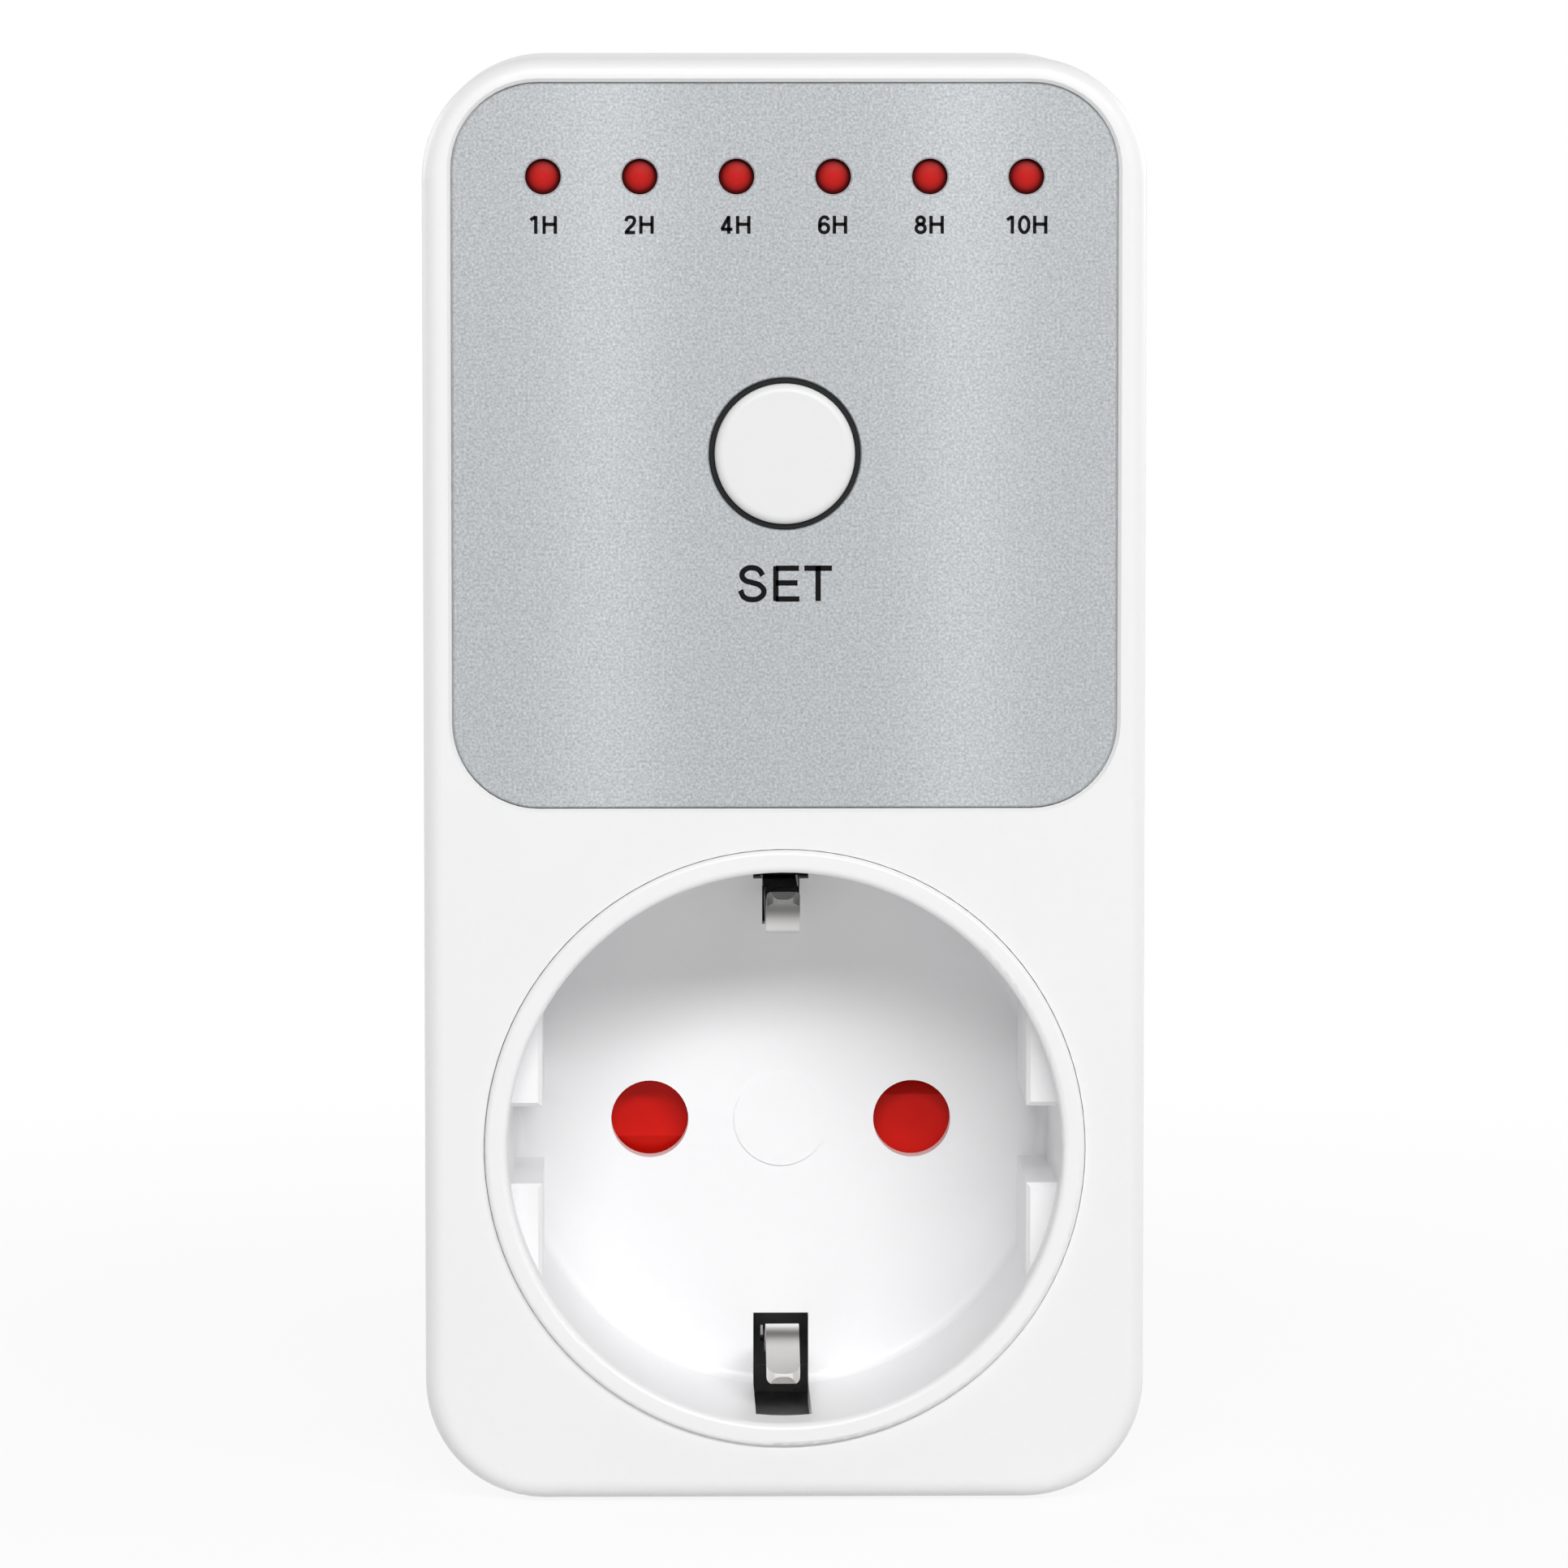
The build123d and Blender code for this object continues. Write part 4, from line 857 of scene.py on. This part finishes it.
def screw_head():
    """A cylinder with a domed top and a cross recess."""
    head, recess = screw.size("Head"), screw.size("Recess")
    rim = screw.size("Rise") - screw.size("Dome")
    drum = screw.node("GeometryNodeMeshCylinder", {
        "Vertices": HEAD_SIDES, "Side Segments": 2, "Fill Segments": HEAD_RINGS,
        "Radius": head, "Depth": rim})
    raised = screw.moved(screw.out(drum, "Mesh"), screw.vector(z=rim / 2))
    across, deep, up = screw.split(screw.out(screw.node("GeometryNodeInputPosition")))
    reach = (across * across + deep * deep) / (head * head)
    domed = screw.node("GeometryNodeSetPosition", {
        "Geometry": raised, "Selection": up.math("GREATER_THAN", rim * 0.99),
        "Offset": screw.vector(z=screw.size("Dome") * (1.0 - reach))})
    point = screw.node("GeometryNodeMeshCone", {
        "Vertices": 4, "Radius Top": recess, "Radius Bottom": recess * BLADE_FOOT,
        "Depth": recess * BLADE_HEIGHT})
    square = screw.moved(screw.out(point, "Mesh"), turn=(0, 0, pi / 4))
    lifted = screw.vector(z=screw.size("Rise") - recess * BLADE_DEPTH)
    blades = [screw.moved(screw.moved(square, scale=thin), lifted)
              for thin in ((1, BLADE_THICKNESS, 1), (BLADE_THICKNESS, 1, 1))]
    return screw.out(screw.node("GeometryNodeMeshBoolean", {
        "Mesh 1": screw.out(domed), "Mesh 2": blades, "Self Intersection": True},
        operation="DIFFERENCE", solver="EXACT"))


def screw_shank():
    """The core of the shank and the thread wound on it."""
    shank, length, pitch = screw.size("Shank"), screw.size("Length"), screw.size("Pitch")
    core = screw.node("GeometryNodeMeshCylinder", {
        "Vertices": SHANK_SIDES, "Radius": shank, "Depth": length})
    hanging = screw.moved(screw.out(core, "Mesh"), screw.vector(z=length * -0.5))
    spiral = screw.node("GeometryNodeCurveSpiral", {
        "Resolution": SHANK_SIDES, "Rotations": length / pitch - 1.0, "Start Radius": shank,
        "End Radius": shank, "Height": length - pitch})
    section = screw.node("GeometryNodeCurvePrimitiveCircle", {
        "Resolution": 3, "Radius": screw.size("Thread")})
    ridge = screw.swept(screw.out(spiral), screw.out(section))
    return [hanging, screw.moved(ridge, screw.vector(z=length * -1.0))]


def housing_screws():
    """The screws on their seats, each with its own turn, in place of the CAD screws."""
    points = bpy.data.meshes.new("seats")
    points.from_pydata(seats, [], [])
    one = screw.joined(screw_head(), *screw_shank())
    placed = screw.node("GeometryNodeInstanceOnPoints", {
        "Points": screw.size("Geometry"), "Instance": one, "Rotation": (-pi / 2, 0, 0)})
    turn = screw.node("FunctionNodeRandomValue", {
        "Max": (0, 0, pi), "Seed": TURN_SEED}, data_type="FLOAT_VECTOR")
    turned = screw.node("GeometryNodeRotateInstances", {
        "Instances": screw.out(placed), "Rotation": screw.out(turn), "Local Space": True})
    screw.end(screw.out(turned), finishes["screw_steel"], smooth=False)
    piece = screw.grow("housing_screws_threaded", points)
    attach(piece, "housing")
    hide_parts("housing_screws")


housing_screws()

# %% [markdown]
# ## The shutter's spring
# A torsion spring is wire on a cylinder, with a straight leg at each end that leaves along the
# wire's own direction. One formula gives the whole centreline: a point's place along the wire is
# clamped to the coil, and what is left over continues along the tangent. The points of a mesh line
# are moved to that formula, and Curve to Mesh gives them the wire's round section.

# %% Grow the spring
COIL_RADIUS, COIL_TURNS, COIL_RISE = 3.85 * MM, 2.25, 1.125 * MM
WIRE_RADIUS, WIRE_SIDES, WIRE_POINTS = 0.18 * MM, 12, 260
LEG_LENGTH = 4.0 * MM


def shutter_spring():
    """The spring's wire, in place of the CAD spring."""
    coil_length, centre = 2 * pi * COIL_RADIUS * COIL_TURNS, middle("shutter_spring")
    tree = Tree("shutter_spring", Radius=COIL_RADIUS, Wire=WIRE_RADIUS, Coil=coil_length,
                Leg=LEG_LENGTH, Rise=COIL_RISE, Middle=centre.y)
    line = tree.node("GeometryNodeMeshLine", {"Count": WIRE_POINTS})
    index = tree.out(tree.node("GeometryNodeInputIndex"))
    radius, coil, leg = tree.size("Radius"), tree.size("Coil"), tree.size("Leg")
    along = index / (WIRE_POINTS - 1) * (coil + leg * 2.0) - leg
    on_coil = along.math("MAXIMUM", 0.0).math("MINIMUM", coil)
    beyond_coil = along - on_coil
    turn = on_coil / radius
    cosine, sine = turn.math("COSINE"), turn.math("SINE")
    centreline = tree.vector(
        radius * cosine - beyond_coil * sine, radius * sine + beyond_coil * cosine,
        tree.size("Rise") * (along / coil - 0.5))
    moved = tree.node("GeometryNodeSetPosition", {
        "Geometry": tree.out(line), "Position": centreline})
    curve = tree.node("GeometryNodeMeshToCurve", {"Mesh": tree.out(moved)})
    section = tree.node("GeometryNodeCurvePrimitiveCircle", {
        "Resolution": WIRE_SIDES, "Radius": tree.size("Wire")})
    wire = tree.swept(tree.out(curve), tree.out(section))
    placed = tree.moved(wire, tree.vector(y=tree.size("Middle")), (-pi / 2, 0, 0))
    tree.end(placed, finishes["spring_steel"])
    piece = tree.grow("shutter_spring_wire", bpy.data.meshes.new("empty"))
    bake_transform(piece)
    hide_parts("shutter_spring")


shutter_spring()

# %% [markdown]
# ## Floor and world
# The floor and the world are white to the camera and to reflections, and light the object at a
# plain level. Light Path tells the two uses apart. Close to the object the floor keeps some of its
# own shade, so that a soft shadow shows, and further out it fades to white.

# %% Floor and world
AMBIENT = 0.16
FLOOR_SIZE, FLOOR_GAP = 3.0, 0.05 * MM
NEAR_WHITE, FADE_RADIUS = 0.85, 0.2
WHITE = (1, 1, 1, 1)


def seen_directly(graph):
    """1 for a ray from the camera or off a glossy or clear surface, 0 for light."""
    path = graph.node("ShaderNodeLightPath")
    camera, glossy, clear = (
        graph.out(path, kind) for kind in ("Is Camera Ray", "Is Glossy Ray", "Is Transmission Ray"))
    return camera.math("MAXIMUM", glossy).math("MAXIMUM", clear)


def white_world():
    """A world that is white where it is seen and weak where it lights."""
    world = bpy.data.worlds.new("white_room")
    world.use_nodes = True
    graph = Graph(world.node_tree)
    graph.tree.nodes.clear()
    strength = seen_directly(graph) * (1.0 - AMBIENT) + AMBIENT
    room = graph.node("ShaderNodeBackground", {"Color": WHITE, "Strength": strength})
    graph.node("ShaderNodeOutputWorld", {0: graph.out(room)})
    bpy.context.scene.world = world


def floor_paint():
    """Matt pale paint, mixed with plain white by the distance from the object."""
    material = bpy.data.materials.new("pale_floor")
    material.use_nodes = True
    graph = Graph(material.node_tree)
    graph.tree.nodes.clear()
    matt = graph.out(graph.node("ShaderNodeBsdfDiffuse", {"Color": rgb(236, 236, 236)}))
    white = graph.out(graph.node("ShaderNodeEmission", {"Color": WHITE, "Strength": 1.0}))
    place = graph.out(graph.node("ShaderNodeTexCoord"), "Object")
    away = graph.node("ShaderNodeVectorMath", {0: place}, operation="LENGTH")
    far = (graph.out(away, "Value") / FADE_RADIUS).math("MINIMUM", 1.0)
    factor = seen_directly(graph) * (far * (1.0 - NEAR_WHITE) + NEAR_WHITE)
    mixed = graph.node("ShaderNodeMixShader", {0: factor, 1: matt, 2: white})
    graph.node("ShaderNodeOutputMaterial", {0: graph.out(mixed)})
    return material


def pale_floor():
    """A plane just under the housing."""
    mesh = bpy.data.meshes.new("floor")
    half, level = FLOOR_SIZE / 2, cad_low.z - FLOOR_GAP
    corners = [(x * half, y * half, level) for x, y in ((-1, -1), (1, -1), (1, 1), (-1, 1))]
    mesh.from_pydata(corners, [], [(0, 1, 2, 3)])
    floor = bpy.data.objects.new("floor", mesh)
    bpy.context.scene.collection.objects.link(floor)
    dress(floor, floor_paint())


white_world()
pale_floor()
print("floor at", round((cad_low.z - FLOOR_GAP) / MM, 2), "mm")

# %% [markdown]
# ## Lamps
# One softbox, wide but not tall, stands high in front and a little to the right. It shades the
# recess from its top down and leaves its sides soft. Two weak ones light the back, which the front
# one doesn't reach.

# %% Lamps
def softbox(name, place, width, height, power):
    """A rectangular area lamp that faces the front of the housing."""
    data = bpy.data.lights.new(name, "AREA")
    data.shape = "RECTANGLE"
    data.size, data.size_y, data.energy = width, height, power
    lamp = bpy.data.objects.new(name, data)
    lamp.location = place
    aim = Vector((0.0, FRONT, MIDDLE_Z)) - lamp.location
    lamp.rotation_euler = aim.to_track_quat("-Z", "Y").to_euler()
    bpy.context.scene.collection.objects.link(lamp)


softbox("key", (0.20, -1.25, 0.80), width=1.40, height=0.30, power=16.6)
softbox("left_rear", (-0.50, 0.25, 0.20), width=0.30, height=0.30, power=1.3)
softbox("right_rear", (0.50, 0.25, 0.20), width=0.30, height=0.30, power=1.3)
print("lamps: key, left rear and right rear")

# %% [markdown]
# ## Camera
# The camera looks at the front from a little above and from a little to the left. A long distance
# keeps the housing's sides nearly parallel, and the lens follows from the distance and from the
# width that the frame has at the housing's front.

# %% Camera
FRAME_WIDTH, DISTANCE = 110.34 * MM, 620.0 * MM
TILT, TURN = radians(5.0), radians(1.0)
AIM = Vector((-0.06 * MM, FRONT, 25.85 * MM))
SENSOR = 36.0


def front_camera():
    """A camera above and left of the front, aimed at AIM."""
    data = bpy.data.cameras.new("front_camera")
    data.sensor_width = SENSOR
    data.lens = SENSOR * DISTANCE / FRAME_WIDTH
    data.clip_start = 10 * MM
    camera = bpy.data.objects.new("front_camera", data)
    away = Vector((-sin(TURN) * cos(TILT), -cos(TURN) * cos(TILT), sin(TILT)))
    camera.location = AIM + DISTANCE * away
    camera.rotation_euler = (pi / 2 - TILT, 0, -TURN)
    bpy.context.scene.collection.objects.link(camera)
    bpy.context.scene.camera = camera


front_camera()
bpy.context.scene.view_settings.view_transform = "Standard"
print("lens", round(bpy.context.scene.camera.data.lens, 1), "mm")
